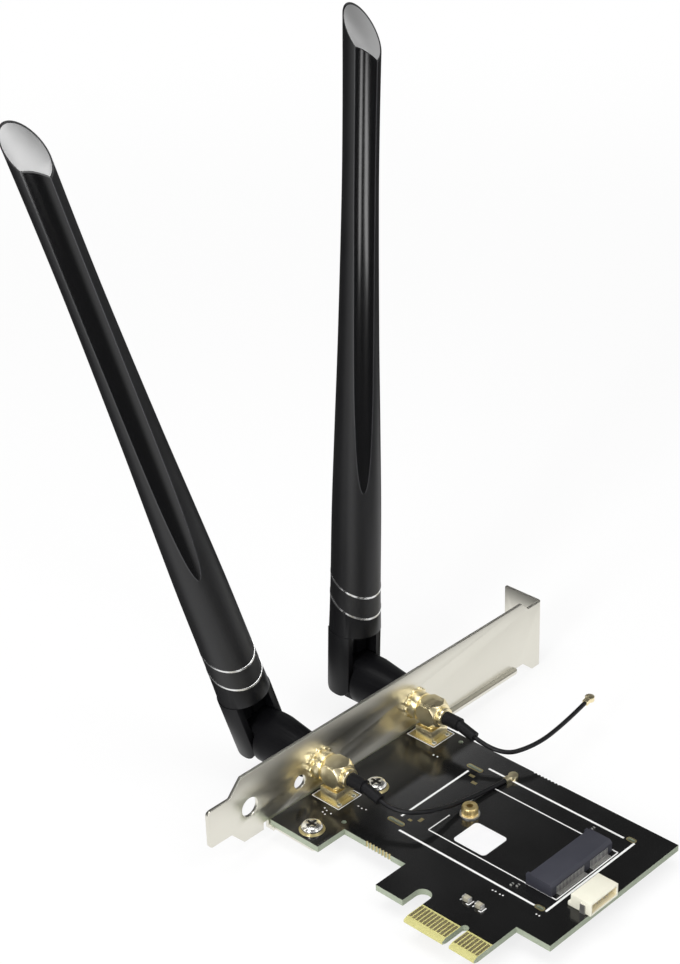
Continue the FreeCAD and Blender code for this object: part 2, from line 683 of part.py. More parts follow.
def make_sleeve(y):
    bend = (SLEEVE_BEND_X, y, JACK_Z)
    thick = rod(SLEEVE_R, (FERRULE_X[1], y, JACK_Z), (SLEEVE_BEND_X + SLEEVE_STEP, y, JACK_Z))
    ball = Part.makeSphere(SLEEVE_THIN_R, V(*bend))
    thin = rod(SLEEVE_THIN_R, bend, (SLEEVE_END[0], y, SLEEVE_END[1]))
    return fuse([thick, ball, thin])


def cable_points(side):
    """Corner points of a pigtail; the first run leaves in line with the sleeve."""
    y = JACK_YS[side]
    start = V(SLEEVE_END[0], y, SLEEVE_END[1])
    along = start - V(SLEEVE_BEND_X, y, JACK_Z)
    along.normalize()
    return [start, start + along * CABLE_START[side]] + [V(*p) for p in CABLE_TURNS[side]]


def make_pigtail(side):
    points = cable_points(side)
    edges = []
    radii = []
    last = points[0]
    for before, corner, after in zip(points, points[1:], points[2:]):
        back = before - corner
        ahead = after - corner
        trim = CORNER_SHARE * min(back.Length, ahead.Length)
        turn = math.pi - back.getAngle(ahead)
        radius = trim / math.tan(turn / 2)
        back.normalize()
        ahead.normalize()
        inward = back + ahead
        inward.normalize()
        arc_start = corner + back * trim
        arc_end = corner + ahead * trim
        arc_middle = corner + inward * (radius / math.cos(turn / 2) - radius)
        edges.append(Part.makeLine(last, arc_start))
        edges.append(Part.Arc(arc_start, arc_middle, arc_end).toShape())
        radii.append(round(radius, 2))
        last = arc_end
    edges.append(Part.makeLine(last, points[-1]))
    path = Part.Wire(edges)
    section = Part.Wire(Part.makeCircle(CABLE_R, points[0], points[1] - points[0]))
    tube = path.makePipeShell([section], True, False)
    expected = math.pi * CABLE_R ** 2 * path.Length
    print(side, "pigtail length", round(path.Length, 1), "bend radii", radii)
    print(side, "pigtail volume", round(tube.Volume, 2), "section times length", round(expected, 2))
    return tube


def make_plug(side):
    points = cable_points(side)
    end = points[-1]
    along = end - points[-2]
    along.normalize()
    tail = box((0, PLUG_TAIL), (-PLUG_TAIL_W / 2, PLUG_TAIL_W / 2), (-CABLE_R, CABLE_R))
    cup_x = PLUG_TAIL + 0.5 * PLUG_R
    cup = rod(PLUG_R, (cup_x, 0, -CABLE_R), (cup_x, 0, PLUG_H - CABLE_R))
    plug = fuse([tail, cup])
    plug.Placement = FreeCAD.Placement(end, FreeCAD.Rotation(V(1, 0, 0), V(along.x, along.y, 0)))
    return plug


def make_coupling_nut(y):
    outer = SKIRT_BORE_R - NUT_RUNNING_GAP
    nut = rod(outer, (COUPLING_END, y, JACK_Z), (COUPLING_START, y, JACK_Z))
    bore = rod(BARREL_R, (COUPLING_FLOOR, y, JACK_Z), (COUPLING_START + 1, y, JACK_Z))
    return nut.cut(bore)


def make_knuckle():
    """Swivelling base; the hinge is at the origin, the jack along +X and the rod along +Z."""
    end = SKIRT_END - PIVOT_X
    form = turned([(-NOSE_R, KNUCKLE_R), (KNUCKLE_SHOULDER, KNUCKLE_R), (end, SKIRT_R)], (0, 0, 0), (1, 0, 0))
    big = 2 * KNUCKLE_R
    nose = rod(NOSE_R, (0, -big, 0), (0, big, 0))
    wedge = [(0, -NOSE_R), (LEG_STEP, -KNUCKLE_R), (end, -KNUCKLE_R),
             (end, KNUCKLE_R), (LEG_STEP, KNUCKLE_R), (0, NOSE_R)]
    knuckle = form.common(fuse([nose, prism(wedge, "y", -big, big)]))
    bore = rod(SKIRT_BORE_R, (SKIRT_BORE_END - PIVOT_X, 0, 0), (end + 1, 0, 0))
    pin_hole = rod(PIN_R + PIN_GAP, (0, -big, 0), (0, big, 0))
    sides = [box((-big, LEG_STEP), (side * TONGUE_HALF, side * big), (-big, big)) for side in (-1, 1)]
    return cut(knuckle, [bore, pin_hole] + sides)


def half_space(at, slant, upper):
    """Everything above or below a plane that crosses the rod's axis and falls towards +X."""
    size = 600
    low = 0 if upper else -size
    block = Part.makeBox(size, size, size, V(-size / 2, -size / 2, low))
    block.Placement = FreeCAD.Placement(V(0, 0, at), FreeCAD.Rotation(V(0, 1, 0), slant))
    return block


def rod_radius(height):
    """Radius of the rod by straight lines between its profile points."""
    for (s0, r0), (s1, r1) in zip(ROD_PROFILE, ROD_PROFILE[1:]):
        if height <= s1:
            return r0 + (r1 - r0) * (height - s0) / (s1 - s0)
    return ROD_PROFILE[-1][1]


def make_rod_form(inset):
    """Outer form of the rod from the fork's shoulder past its tip, with the flute, less an inset."""
    form = turned_smooth([(height, radius - inset) for height, radius in ROD_PROFILE])
    turn = math.radians(FLUTE_AZIMUTH)
    circles = []
    for height, depth in FLUTE_DEPTH:
        reach = rod_radius(height) - depth + FLUTE_R
        centre = V(reach * math.cos(turn), reach * math.sin(turn), height)
        circles.append(Part.Wire(Part.makeCircle(FLUTE_R + inset, centre, V(0, 0, 1))))
    return form.cut(Part.makeLoft(circles, True, False))


def make_leg(side):
    """One hinge leg: a slice of a round bar with a flat front and a rounded lower end."""
    inner = side * (TONGUE_HALF + LEG_GAP)
    slab = box((-LEG_BACK, LEG_FRONT), (inner, side * LEG_R), (-LEG_DROP, SHOULDER))

    def lower_corner(middle, along):
        return abs(along.y) > LEG_GAP and abs(middle.z + LEG_DROP) < LEG_GAP
    slab = rounded_edges(slab, LEG_CORNER, lower_corner)
    return slab.common(rod(LEG_R, (0, 0, -LEG_DROP), (0, 0, SHOULDER)))


def make_web():
    """Wall that joins the legs behind the hinge, hollowed round the knuckle's nose."""
    reach = TONGUE_HALF + LEG_GAP
    wall = box((-LEG_BACK, 0), (-reach, reach), (0, SHOULDER))
    return wall.cut(rod(NOSE_R + NOSE_GAP, (0, -reach, 0), (0, reach, 0)))


def make_antenna():
    """Pieces of one upright antenna with its hinge at the origin."""
    form = make_rod_form(0)
    hollow = turned_smooth(HOLLOW_PROFILE)
    feed_way = rod(FEED_R, (0, 0, 0), (0, 0, HOLLOW_PROFILE[0][0] + 1))
    half = RING_T / 2
    seams = []
    for at in RING_AT:
        seams.append((at - half, at + half))

    base = form.common(half_space(seams[0][0], RING_SLANT, False))
    pin = rod(PIN_R, (0, -PIN_REACH, 0), (0, PIN_REACH, 0))
    fork = cut(fuse([base, make_leg(-1), make_leg(1), make_web()]), [hollow, feed_way, pin])

    rings = []
    proud = [(s, r + RING_PROUD) for s, r in ROD_PROFILE[:3]]
    ring_form = turned_smooth(proud)
    for low, high in seams:
        ring = ring_form.common(half_space(low, RING_SLANT, True)).common(half_space(high, RING_SLANT, False))
        rings.append(ring.cut(hollow))

    collar = form.common(half_space(seams[0][1], RING_SLANT, True))
    collar = collar.common(half_space(seams[1][0], RING_SLANT, False)).cut(hollow)

    upper = form.common(half_space(seams[1][1], RING_SLANT, True))
    cap_under = TIP_AT - CAP_T / math.cos(math.radians(TIP_SLANT))
    cap = make_rod_form(CAP_RIM).common(half_space(cap_under, TIP_SLANT, True))
    cap = cap.common(half_space(TIP_AT, TIP_SLANT, False))
    radome = cut(upper.common(half_space(TIP_AT, TIP_SLANT, False)), [hollow, cap])

    feed = rod(FEED_R, (0, 0, SHOULDER), (0, 0, FEED_END))
    strip = box((-STRIP_T / 2, STRIP_T / 2), (-STRIP_W / 2, STRIP_W / 2), (FEED_END - STRIP_LAP, STRIP_END))
    return {
        "hinge_pin": pin,
        "fork": fork,
        "trim_rings": Part.makeCompound(rings),
        "collar": collar,
        "radome": radome,
        "radiator": fuse([feed, strip]),
        "tip_cap": cap,
    }


def placed(shape, side, leans):
    """Copy of an antenna piece, leant and swivelled as it stands at rest."""
    swivel = FreeCAD.Rotation(V(1, 0, 0), SWIVEL_DEG[side])
    lean = FreeCAD.Rotation(V(0, 1, 0), LEAN_DEG[side] if leans else 0)
    copy = shape.copy()
    copy.Placement = FreeCAD.Placement(V(PIVOT_X, JACK_YS[side], JACK_Z), swivel.multiply(lean))
    return copy


def main():
    nodes = {
        "circuit_board": make_board(),
        "edge_contacts": make_edge_contacts(),
        "plated_pads": make_plated_pads(),
        "bracket": make_bracket(),
        "board_screws": make_board_screws(),
        "m2_socket": make_m2_socket(),
        "m2_contacts": make_m2_contacts(),
        "m2_standoff": make_m2_standoff(),
        "standoff_ring": make_standoff_ring(),
        "usb_header": make_usb_header(),
        "usb_pins": make_usb_pins(),
        "chip_capacitors": Part.makeCompound(make_chips(CAPACITORS, CAPACITOR_SIZE, "body")),
        "chip_resistors": Part.makeCompound(make_chips(RESISTORS, RESISTOR_SIZE, "body")),
        "chip_terminals": Part.makeCompound(make_chips(CAPACITORS, CAPACITOR_SIZE, "ends")
                                            + make_chips(RESISTORS, RESISTOR_SIZE, "ends")),
        "label": make_label(),
        "lock_washers": make_lock_washers(),
        "jack_nuts": make_jack_nuts(),
    }
    antenna = make_antenna()
    knuckle = make_knuckle()
    for side, y in JACK_YS.items():
        nodes[side + "_jack"] = make_jack(y)
        nodes[side + "_jack_insulator"] = make_jack_insulator(y)
        nodes[side + "_jack_pin"] = make_jack_pin(y)
        nodes[side + "_ferrule"] = make_ferrule(y)
        nodes[side + "_sleeve"] = make_sleeve(y)
        nodes[side + "_pigtail"] = make_pigtail(side)
        nodes[side + "_plug"] = make_plug(side)
        nodes[side + "_coupling_nut"] = make_coupling_nut(y)
        nodes[side + "_knuckle"] = placed(knuckle, side, False)
        for name, shape in antenna.items():
            nodes[side + "_" + name] = placed(shape, side, True)
    os.makedirs("parts", exist_ok=True)
    for name, shape in nodes.items():
        shape.exportStep("parts/" + name + ".step")
        print(name, "solids", len(shape.Solids), "volume", round(shape.Volume, 2), "valid", shape.isValid())


main()
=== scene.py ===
# %% [markdown]
# # A slot card with two swivelling antennas
#
# The part is a plug-in card: a black board, a bent steel bracket, a socket for a small radio module
# and two rod antennas on hinged knuckles. The solids come from CAD with their true sizes. Here they
# get rounded edges, print and finishes. Loading them first gives one frame, in metres, that every
# later step shares.

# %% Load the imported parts
import math

import bmesh
import bpy
from mathutils import Matrix, Vector


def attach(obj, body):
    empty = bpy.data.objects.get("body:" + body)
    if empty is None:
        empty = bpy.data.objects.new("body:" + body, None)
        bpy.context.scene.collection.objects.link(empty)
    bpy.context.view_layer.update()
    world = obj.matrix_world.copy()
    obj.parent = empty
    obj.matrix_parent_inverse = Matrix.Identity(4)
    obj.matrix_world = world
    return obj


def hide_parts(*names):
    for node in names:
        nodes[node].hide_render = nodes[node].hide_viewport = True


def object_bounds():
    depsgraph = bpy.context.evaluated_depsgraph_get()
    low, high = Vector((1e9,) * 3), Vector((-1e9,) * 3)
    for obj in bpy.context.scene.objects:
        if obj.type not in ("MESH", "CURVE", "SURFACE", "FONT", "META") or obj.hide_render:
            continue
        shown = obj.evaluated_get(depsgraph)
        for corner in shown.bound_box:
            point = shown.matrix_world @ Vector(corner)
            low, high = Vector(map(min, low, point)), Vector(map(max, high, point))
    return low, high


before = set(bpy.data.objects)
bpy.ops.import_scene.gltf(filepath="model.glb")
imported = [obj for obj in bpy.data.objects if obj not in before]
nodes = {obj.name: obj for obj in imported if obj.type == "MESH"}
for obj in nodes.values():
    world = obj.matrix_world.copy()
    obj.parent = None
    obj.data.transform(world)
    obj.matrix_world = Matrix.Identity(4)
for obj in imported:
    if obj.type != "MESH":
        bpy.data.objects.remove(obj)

cad_low, cad_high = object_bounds()
MM = 0.001
print("nodes", len(nodes), "box in mm", [round(v / MM, 1) for v in cad_high - cad_low])

# %% [markdown]
# ## Camera
#
# The camera stands in front of the card's contact edge, to the right, and looks down by about 28
# degrees. A camera can be aimed with a Track To constraint, but its place and its three axes are
# known here, so one matrix sets them all, and nothing is left to solve.

# %% Camera
CAMERA_AT = (0.234686, -0.265278, 0.301999)
CAMERA_RIGHT = (0.72128909, 0.69208259, -0.02763592)
CAMERA_UP = (-0.30880865, 0.35704291, 0.88156541)
CAMERA_BACK = (0.61998328, -0.6273293, 0.47125224)
CAMERA_LENS = 78.885

camera_data = bpy.data.cameras.new("camera")
camera_data.lens = CAMERA_LENS
camera = bpy.data.objects.new("camera", camera_data)
bpy.context.scene.collection.objects.link(camera)
axes = Matrix((CAMERA_RIGHT, CAMERA_UP, CAMERA_BACK)).transposed()
camera.matrix_world = Matrix.Translation(CAMERA_AT) @ axes.to_4x4()
bpy.context.scene.camera = camera
print("camera at", CAMERA_AT, "lens", CAMERA_LENS)

# %% [markdown]
# ## Leads
#
# Each jack has a thin coaxial lead that ends in a small plug. A lead could be a swept mesh, but a
# curve with a bevel keeps its line editable and perfectly round. The points are the corners of the
# route in CAD. A NURBS spline of order 3 runs inside those corners, so the lead bends softly. The
# order is set after the points are added, because a spline with one point can't hold it. The radius
# is given to the points and the bevel depth is 1, so that the curve's box has the lead's true size.

# %% Leads
LEAD_RADIUS = 0.000565
LEAD_ORDER = 3
LEAD_STEPS = 16
LEAD_SIDES = 6
LEAD_ROUTES = {
    "main": ((-0.0398, 0.02241, 0.00555), (-0.035599, 0.02241, 0.004422), (-0.0295, 0.02656, 0.0046),
             (-0.0288, 0.04096, 0.00062), (-0.0273, 0.05266, 0.00062)),
    "aux": ((-0.0398, 0.05611, 0.00555), (-0.032170, 0.05611, 0.003501), (-0.0274, 0.06436, 0.0046),
            (-0.0285, 0.07736, 0.0043), (-0.0300, 0.08656, 0.0044)),
}


def make_lead(side):
    """Round lead from its sleeve to its plug."""
    curve = bpy.data.curves.new(side + "_lead", "CURVE")
    curve.dimensions = "3D"
    route = LEAD_ROUTES[side]
    spline = curve.splines.new("NURBS")
    spline.points.add(len(route) - 1)
    for point, place in zip(spline.points, route):
        point.co = (*place, 1.0)
        point.radius = LEAD_RADIUS
    spline.order_u = LEAD_ORDER
    spline.use_endpoint_u = True
    spline.resolution_u = LEAD_STEPS
    curve.bevel_depth = 1.0
    curve.bevel_resolution = LEAD_SIDES
    curve.use_fill_caps = True
    lead = bpy.data.objects.new(side + "_lead", curve)
    bpy.context.scene.collection.objects.link(lead)
    return lead


leads = {}
for side in LEAD_ROUTES:
    lead = make_lead(side)
    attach(lead, "card")
    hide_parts(side + "_pigtail")
    leads[side] = lead
print("leads", [lead.name for lead in leads.values()])

# %% [markdown]
# ## Floor, background and light
#
# The floor is a large pale sheet just under the lowest point. A plain diffuse floor under soft
# light is a little grey, so for rays from the camera part of it shines at the strength of white. The
# rest stays diffuse and holds the shadow.
#
# Its finish and the world behind it are built from a few small node helpers. Each adds one node to a
# tree, links what goes into it, and hands back what comes out.

# %% Node helpers
def vector_math(tree, operation, first, second=None):
    node = tree.nodes.new("ShaderNodeVectorMath")
    node.operation = operation
    tree.links.new(first, node.inputs[0])
    if second is not None:
        node.inputs[1].default_value = second
    return node


def higher_of(tree, first, second):
    node = tree.nodes.new("ShaderNodeMath")
    node.operation = "MAXIMUM"
    tree.links.new(first, node.inputs[0])
    tree.links.new(second, node.inputs[1])
    return node.outputs[0]


def soft_step(tree, value, start, stop, low, high):
    """Low below start, high above stop, and smooth between."""
    node = tree.nodes.new("ShaderNodeMapRange")
    node.interpolation_type = "SMOOTHSTEP"
    node.inputs["From Min"].default_value = start
    node.inputs["From Max"].default_value = stop
    node.inputs["To Min"].default_value = low
    node.inputs["To Max"].default_value = high
    tree.links.new(value, node.inputs["Value"])
    return node.outputs[0]


def mirrored_rays(tree):
    """1 for rays in reflections and through glass and 0 for others, and the Light Path node."""
    path = tree.nodes.new("ShaderNodeLightPath")
    return higher_of(tree, path.outputs["Is Glossy Ray"], path.outputs["Is Transmission Ray"]), path


print("node helpers ready")

# %% [markdown]
# A glossy black rod shows nothing but what it mirrors, and an upright one seen from above mirrors
# the floor. So in reflections the floor is like white cards on a dark cloth. An oval card along the
# bracket lights that metal from every side. A long one towards the front left draws a light band on
# each rod. Two small bright ones far out on the right draw the two glints in the upright rod's flute.

# %% Cards on the floor
CLOTH_LEVEL = 0.07
OVAL_INSIDE = 0.6
OVAL_CARDS = (
    # middle, half of each side, level
    ((-0.045, 0.09, 0.0), (0.075, 0.22), 1.0),
    ((0.48, 0.05, 0.0), (0.22, 0.045), 5.0),
    ((0.43, -0.11, 0.0), (0.18, 0.055), 6.0),
)
LONG_FROM = (-0.052, 0.05, 0.0)
LONG_TOWARDS = (0.0, -1.0, 0.0)
LONG_EDGE = (0.74, 0.94)


def card_level(tree):
    """The floor's brightness in reflections: high on the cards and low on the cloth."""
    place = tree.nodes.new("ShaderNodeTexCoord")
    away = vector_math(tree, "SUBTRACT", place.outputs["Object"], LONG_FROM)
    flat = vector_math(tree, "MULTIPLY", away.outputs[0], (1.0, 1.0, 0.0))
    unit = vector_math(tree, "NORMALIZE", flat.outputs[0])
    towards = vector_math(tree, "DOT_PRODUCT", unit.outputs[0], LONG_TOWARDS)
    level = soft_step(tree, towards.outputs["Value"], *LONG_EDGE, CLOTH_LEVEL, 1.0)
    for middle, (half_x, half_y), bright in OVAL_CARDS:
        away = vector_math(tree, "SUBTRACT", place.outputs["Object"], middle)
        oval = vector_math(tree, "MULTIPLY", away.outputs[0], (1 / half_x, 1 / half_y, 0.0))
        reach = vector_math(tree, "LENGTH", oval.outputs[0])
        near = soft_step(tree, reach.outputs["Value"], OVAL_INSIDE, 1.0, bright, CLOTH_LEVEL)
        level = higher_of(tree, level, near)
    return level


print("cards on the floor", len(OVAL_CARDS) + 1)

# %% [markdown]
# The floor itself is one flat grid. Near the object a part of it stays diffuse, and farther out all of
# it shines, so that no horizon shows.

# %% Floor
FLOOR_SIZE = 6.0
FLOOR_DROP = 0.0002
FLOOR_COLOUR = (0.92, 0.92, 0.92, 1.0)
FLOOR_GLOW_SHARE = 0.80
FAR_FLOOR = (0.25, 0.70)


def floor_share(tree):
    """How much of the floor shines for the camera: a part near the object, all of it far away."""
    place = tree.nodes.new("ShaderNodeTexCoord")
    away = vector_math(tree, "LENGTH", place.outputs["Object"])
    return soft_step(tree, away.outputs["Value"], *FAR_FLOOR, FLOOR_GLOW_SHARE, 1.0)


floor_mesh = bmesh.new()
bmesh.ops.create_grid(floor_mesh, x_segments=4, y_segments=4, size=FLOOR_SIZE / 2)
bmesh.ops.translate(floor_mesh, verts=floor_mesh.verts, vec=(0, 0, cad_low.z - FLOOR_DROP))
floor_data = bpy.data.meshes.new("floor")
floor_mesh.to_mesh(floor_data)
floor_mesh.free()
floor = bpy.data.objects.new("floor", floor_data)
bpy.context.scene.collection.objects.link(floor)

floor_finish = bpy.data.materials.new("pale_floor")
floor_finish.use_nodes = True
tree = floor_finish.node_tree
tree.nodes.clear()
matt = tree.nodes.new("ShaderNodeBsdfDiffuse")
matt.inputs["Color"].default_value = FLOOR_COLOUR
glow = tree.nodes.new("ShaderNodeEmission")
share = tree.nodes.new("ShaderNodeMath")
share.operation = "MULTIPLY"
tree.links.new(floor_share(tree), share.inputs[1])
mix = tree.nodes.new("ShaderNodeMixShader")
out = tree.nodes.new("ShaderNodeOutputMaterial")
mirrored, path = mirrored_rays(tree)
camera_ray = path.outputs["Is Camera Ray"]
tree.links.new(higher_of(tree, camera_ray, card_level(tree)), glow.inputs["Strength"])
tree.links.new(camera_ray, share.inputs[0])
tree.links.new(higher_of(tree, share.outputs[0], mirrored), mix.inputs[0])
tree.links.new(matt.outputs[0], mix.inputs[1])
tree.links.new(glow.outputs[0], mix.inputs[2])
tree.links.new(mix.outputs[0], out.inputs["Surface"])
floor_data.materials.append(floor_finish)
print("floor at", round(cad_low.z / MM, 2), "mm")

# %% [markdown]
# The world behind the floor is white to the camera. In reflections it is bright towards the far
# right, and darker overhead and on the left, as in a studio with one pale wall and a dark ceiling.
# Those dark parts are what gives plated metal its contrast: metal has almost no colour of its own
# apart from what it mirrors. A colour ramp sets the brightness by height, and a soft step by side.

# %% Sky in reflections
SKY_STOPS = ((0.0, 1.0), (0.66, 1.0), (0.76, 0.36), (0.86, 0.20), (1.0, 0.12))
BRIGHT_SIDE = (0.85, 0.53, 0.0)
SIDE_SPREAD = (-0.3, 0.7)
DARK_LEVEL = 0.06

world = bpy.data.worlds.new("studio")
bpy.context.scene.world = world
world.use_nodes = True
tree = world.node_tree
tree.nodes.clear()
direction = tree.nodes.new("ShaderNodeTexCoord")
split = tree.nodes.new("ShaderNodeSeparateXYZ")
tree.links.new(direction.outputs["Generated"], split.inputs[0])
height = tree.nodes.new("ShaderNodeMapRange")
height.inputs["From Min"].default_value = -1.0
height.inputs["From Max"].default_value = 1.0
tree.links.new(split.outputs["Z"], height.inputs["Value"])
ramp = tree.nodes.new("ShaderNodeValToRGB")
for place, level in SKY_STOPS[1:-1]:
    ramp.color_ramp.elements.new(place)
for element, (place, level) in zip(ramp.color_ramp.elements, SKY_STOPS):
    element.position = place
    element.color = (level, level, level, 1.0)
tree.links.new(height.outputs[0], ramp.inputs[0])
towards = vector_math(tree, "DOT_PRODUCT", direction.outputs["Generated"], BRIGHT_SIDE)
dimmed = soft_step(tree, towards.outputs["Value"], *SIDE_SPREAD, DARK_LEVEL, 1.0)
mirrored = tree.nodes.new("ShaderNodeBackground")
tree.links.new(ramp.outputs[0], mirrored.inputs["Color"])
tree.links.new(dimmed, mirrored.inputs["Strength"])
print("sky stops", len(SKY_STOPS))

# %% [markdown]
# Three backgrounds are mixed by the kind of ray. The camera sees white, reflections see that sky, and
# every other ray finds a plain soft light, which fills the shadows.

# %% Background
SKY_LIGHT = 0.40

mirrored_ray, path = mirrored_rays(tree)
plain = tree.nodes.new("ShaderNodeBackground")
plain.inputs["Strength"].default_value = SKY_LIGHT
white = tree.nodes.new("ShaderNodeBackground")
reflect_mix = tree.nodes.new("ShaderNodeMixShader")
camera_mix = tree.nodes.new("ShaderNodeMixShader")
out = tree.nodes.new("ShaderNodeOutputWorld")
for background in (plain, white):
    background.inputs["Color"].default_value = (1.0, 1.0, 1.0, 1.0)
tree.links.new(mirrored_ray, reflect_mix.inputs[0])
tree.links.new(plain.outputs[0], reflect_mix.inputs[1])
tree.links.new(mirrored.outputs[0], reflect_mix.inputs[2])
tree.links.new(path.outputs["Is Camera Ray"], camera_mix.inputs[0])
tree.links.new(reflect_mix.outputs[0], camera_mix.inputs[1])
tree.links.new(white.outputs[0], camera_mix.inputs[2])
tree.links.new(camera_mix.outputs[0], out.inputs["Surface"])
bpy.context.scene.view_settings.view_transform = "Standard"
print("background set, sky light", SKY_LIGHT)

# %% [markdown]
# Five soft boxes light the object: a large one overhead, one high on the right that the slanted rod
# tips mirror, a tall strip on each side of the camera, and a slim weak one behind the bracket. That
# last one faces straight down and adds almost no light. It is there to be mirrored by flat gold.
# Area lamps are used because their size sets how soft the shadows are.

# %% Lamps
LAMP_AIM = (-0.03, 0.03, 0.06)
LAMPS = (
    # name, place, target, width and height, power
    ("overhead", (-0.15, -0.10, 0.80), LAMP_AIM, (0.50, 0.50), 3.1),
    ("high_right", (0.30, 0.10, 0.62), LAMP_AIM, (0.30, 0.30), 0.74),
    ("strip_right", (0.62, 0.05, 0.24), LAMP_AIM, (0.08, 0.46), 0.7),
    ("strip_left", (0.10, -0.66, 0.30), LAMP_AIM, (0.14, 0.50), 3.4),
    ("behind_bracket", (-0.338, 0.344, 0.302), (-0.338, 0.344, 0.0), (0.03, 0.26), 0.055),
)
for name, place, target, (wide, tall), power in LAMPS:
    lamp_data = bpy.data.lights.new(name, "AREA")
    lamp_data.shape = "RECTANGLE"
    lamp_data.size = wide
    lamp_data.size_y = tall
    lamp_data.energy = power
    lamp = bpy.data.objects.new(name, lamp_data)
    bpy.context.scene.collection.objects.link(lamp)
    lamp.location = place
    aim = Vector(target) - Vector(place)
    lamp.rotation_euler = aim.to_track_quat("-Z", "Y").to_euler()
print("lamps", [row[0] for row in LAMPS])

# %% [markdown]
# ## Shared surface effects
#
# No real surface has one colour and one gloss all over. Two effects are used again and again, so
# each is a node group that materials place with their own values. The first is moulded grain: a
# fine noise for texture with a slow cloud over it. It reads Object coordinates, so the grain keeps
# its true size and stays on the piece when the piece moves.

# %% Node group: moulded grain
def add_socket(group, name, in_out, value=None):
    socket = group.interface.new_socket(name, in_out=in_out, socket_type="NodeSocketFloat")
    if value is not None:
        socket.default_value = value


def noise(tree, coordinates, detail):
    node = tree.nodes.new("ShaderNodeTexNoise")
    node.inputs["Detail"].default_value = detail
    tree.links.new(coordinates, node.inputs["Vector"])
    return node


grain = bpy.data.node_groups.new("moulded_grain", "ShaderNodeTree")
add_socket(grain, "Grain Scale", "INPUT", 8000.0)
add_socket(grain, "Cloud Scale", "INPUT", 120.0)
add_socket(grain, "Cloud Share", "INPUT", 0.5)
add_socket(grain, "Shade", "OUTPUT")
add_socket(grain, "Height", "OUTPUT")
group_in = grain.nodes.new("NodeGroupInput")
group_out = grain.nodes.new("NodeGroupOutput")
place = grain.nodes.new("ShaderNodeTexCoord")
fine = noise(grain, place.outputs["Object"], detail=3.0)
cloud = noise(grain, place.outputs["Object"], detail=2.0)
blend = grain.nodes.new("ShaderNodeMix")
grain.links.new(group_in.outputs["Grain Scale"], fine.inputs["Scale"])
grain.links.new(group_in.outputs["Cloud Scale"], cloud.inputs["Scale"])
grain.links.new(group_in.outputs["Cloud Share"], blend.inputs["Factor"])
grain.links.new(fine.outputs[0], blend.inputs["A"])
grain.links.new(cloud.outputs[0], blend.inputs["B"])
grain.links.new(blend.outputs["Result"], group_out.inputs["Shade"])
grain.links.new(fine.outputs[0], group_out.inputs["Height"])
print("group", grain.name)

# %% [markdown]
# The second effect is for metal: fine drawn lines along one axis, and soft patches of tarnish. The
# lines are a noise whose coordinates are squeezed along the drawing direction by a Mapping node. An
# input says how much of the shade is patches, because plating hides most of the lines.

# %% Node group: drawn metal
LINE_SQUEEZE = (1.0, 0.03, 1.0)

drawn = bpy.data.node_groups.new("drawn_metal", "ShaderNodeTree")
add_socket(drawn, "Line Scale", "INPUT", 6000.0)
add_socket(drawn, "Patch Scale", "INPUT", 90.0)
add_socket(drawn, "Patch Share", "INPUT", 0.6)
add_socket(drawn, "Shade", "OUTPUT")
add_socket(drawn, "Patch", "OUTPUT")
add_socket(drawn, "Height", "OUTPUT")
group_in = drawn.nodes.new("NodeGroupInput")
group_out = drawn.nodes.new("NodeGroupOutput")
place = drawn.nodes.new("ShaderNodeTexCoord")
squeeze = drawn.nodes.new("ShaderNodeMapping")
squeeze.inputs["Scale"].default_value = LINE_SQUEEZE
drawn.links.new(place.outputs["Object"], squeeze.inputs["Vector"])
lines = noise(drawn, squeeze.outputs[0], detail=2.0)
patch = noise(drawn, place.outputs["Object"], detail=3.0)
both = drawn.nodes.new("ShaderNodeMix")
drawn.links.new(group_in.outputs["Patch Share"], both.inputs["Factor"])
drawn.links.new(group_in.outputs["Line Scale"], lines.inputs["Scale"])
drawn.links.new(group_in.outputs["Patch Scale"], patch.inputs["Scale"])
drawn.links.new(lines.outputs[0], both.inputs["A"])
drawn.links.new(patch.outputs[0], both.inputs["B"])
drawn.links.new(both.outputs["Result"], group_out.inputs["Shade"])
drawn.links.new(patch.outputs[0], group_out.inputs["Patch"])
drawn.links.new(lines.outputs[0], group_out.inputs["Height"])
print("group", drawn.name)

# %% [markdown]
# ## Finishes
#
# A finish needs three small helpers: one that stretches the useful part of a noise, one that mixes two
# colours and one that makes a bump. A Mix node has a pair of inputs for each type of data, so its
# colour sockets are picked by number.

# %% Finish helpers
SHADE_LOW = 0.3
SHADE_HIGH = 0.7
COLOUR_A = 6
COLOUR_B = 7
COLOUR_OUT = 2


def spread_value(tree, value, low, high):
    """The part of a noise that matters, stretched from low to high."""
    node = tree.nodes.new("ShaderNodeMapRange")
    node.inputs["From Min"].default_value = SHADE_LOW
    node.inputs["From Max"].default_value = SHADE_HIGH
    node.inputs["To Min"].default_value = low
    node.inputs["To Max"].default_value = high
    tree.links.new(value, node.inputs["Value"])
    return node.outputs[0]


def mixed_colour(tree, factor, first, second):
    node = tree.nodes.new("ShaderNodeMix")
    node.data_type = "RGBA"
    node.inputs[COLOUR_A].default_value = (*first, 1.0)
    node.inputs[COLOUR_B].default_value = (*second, 1.0)
    tree.links.new(factor, node.inputs["Factor"])
    return node.outputs[COLOUR_OUT]


def bumped(tree, height, depth):
    node = tree.nodes.new("ShaderNodeBump")
    node.inputs["Distance"].default_value = depth * MM
    node.inputs["Strength"].default_value = 1.0
    tree.links.new(height, node.inputs["Height"])
    return node.outputs[0]


print("finish helpers ready")

# %% [markdown]
# One function builds a finish from a group: its shade picks between two near colours and between
# two roughness values, and its height lifts a fine bump. What is the same all over, such as
# metalness, is set straight on the shader.

# %% Finish builder
COAT_ROUGH = 0.08


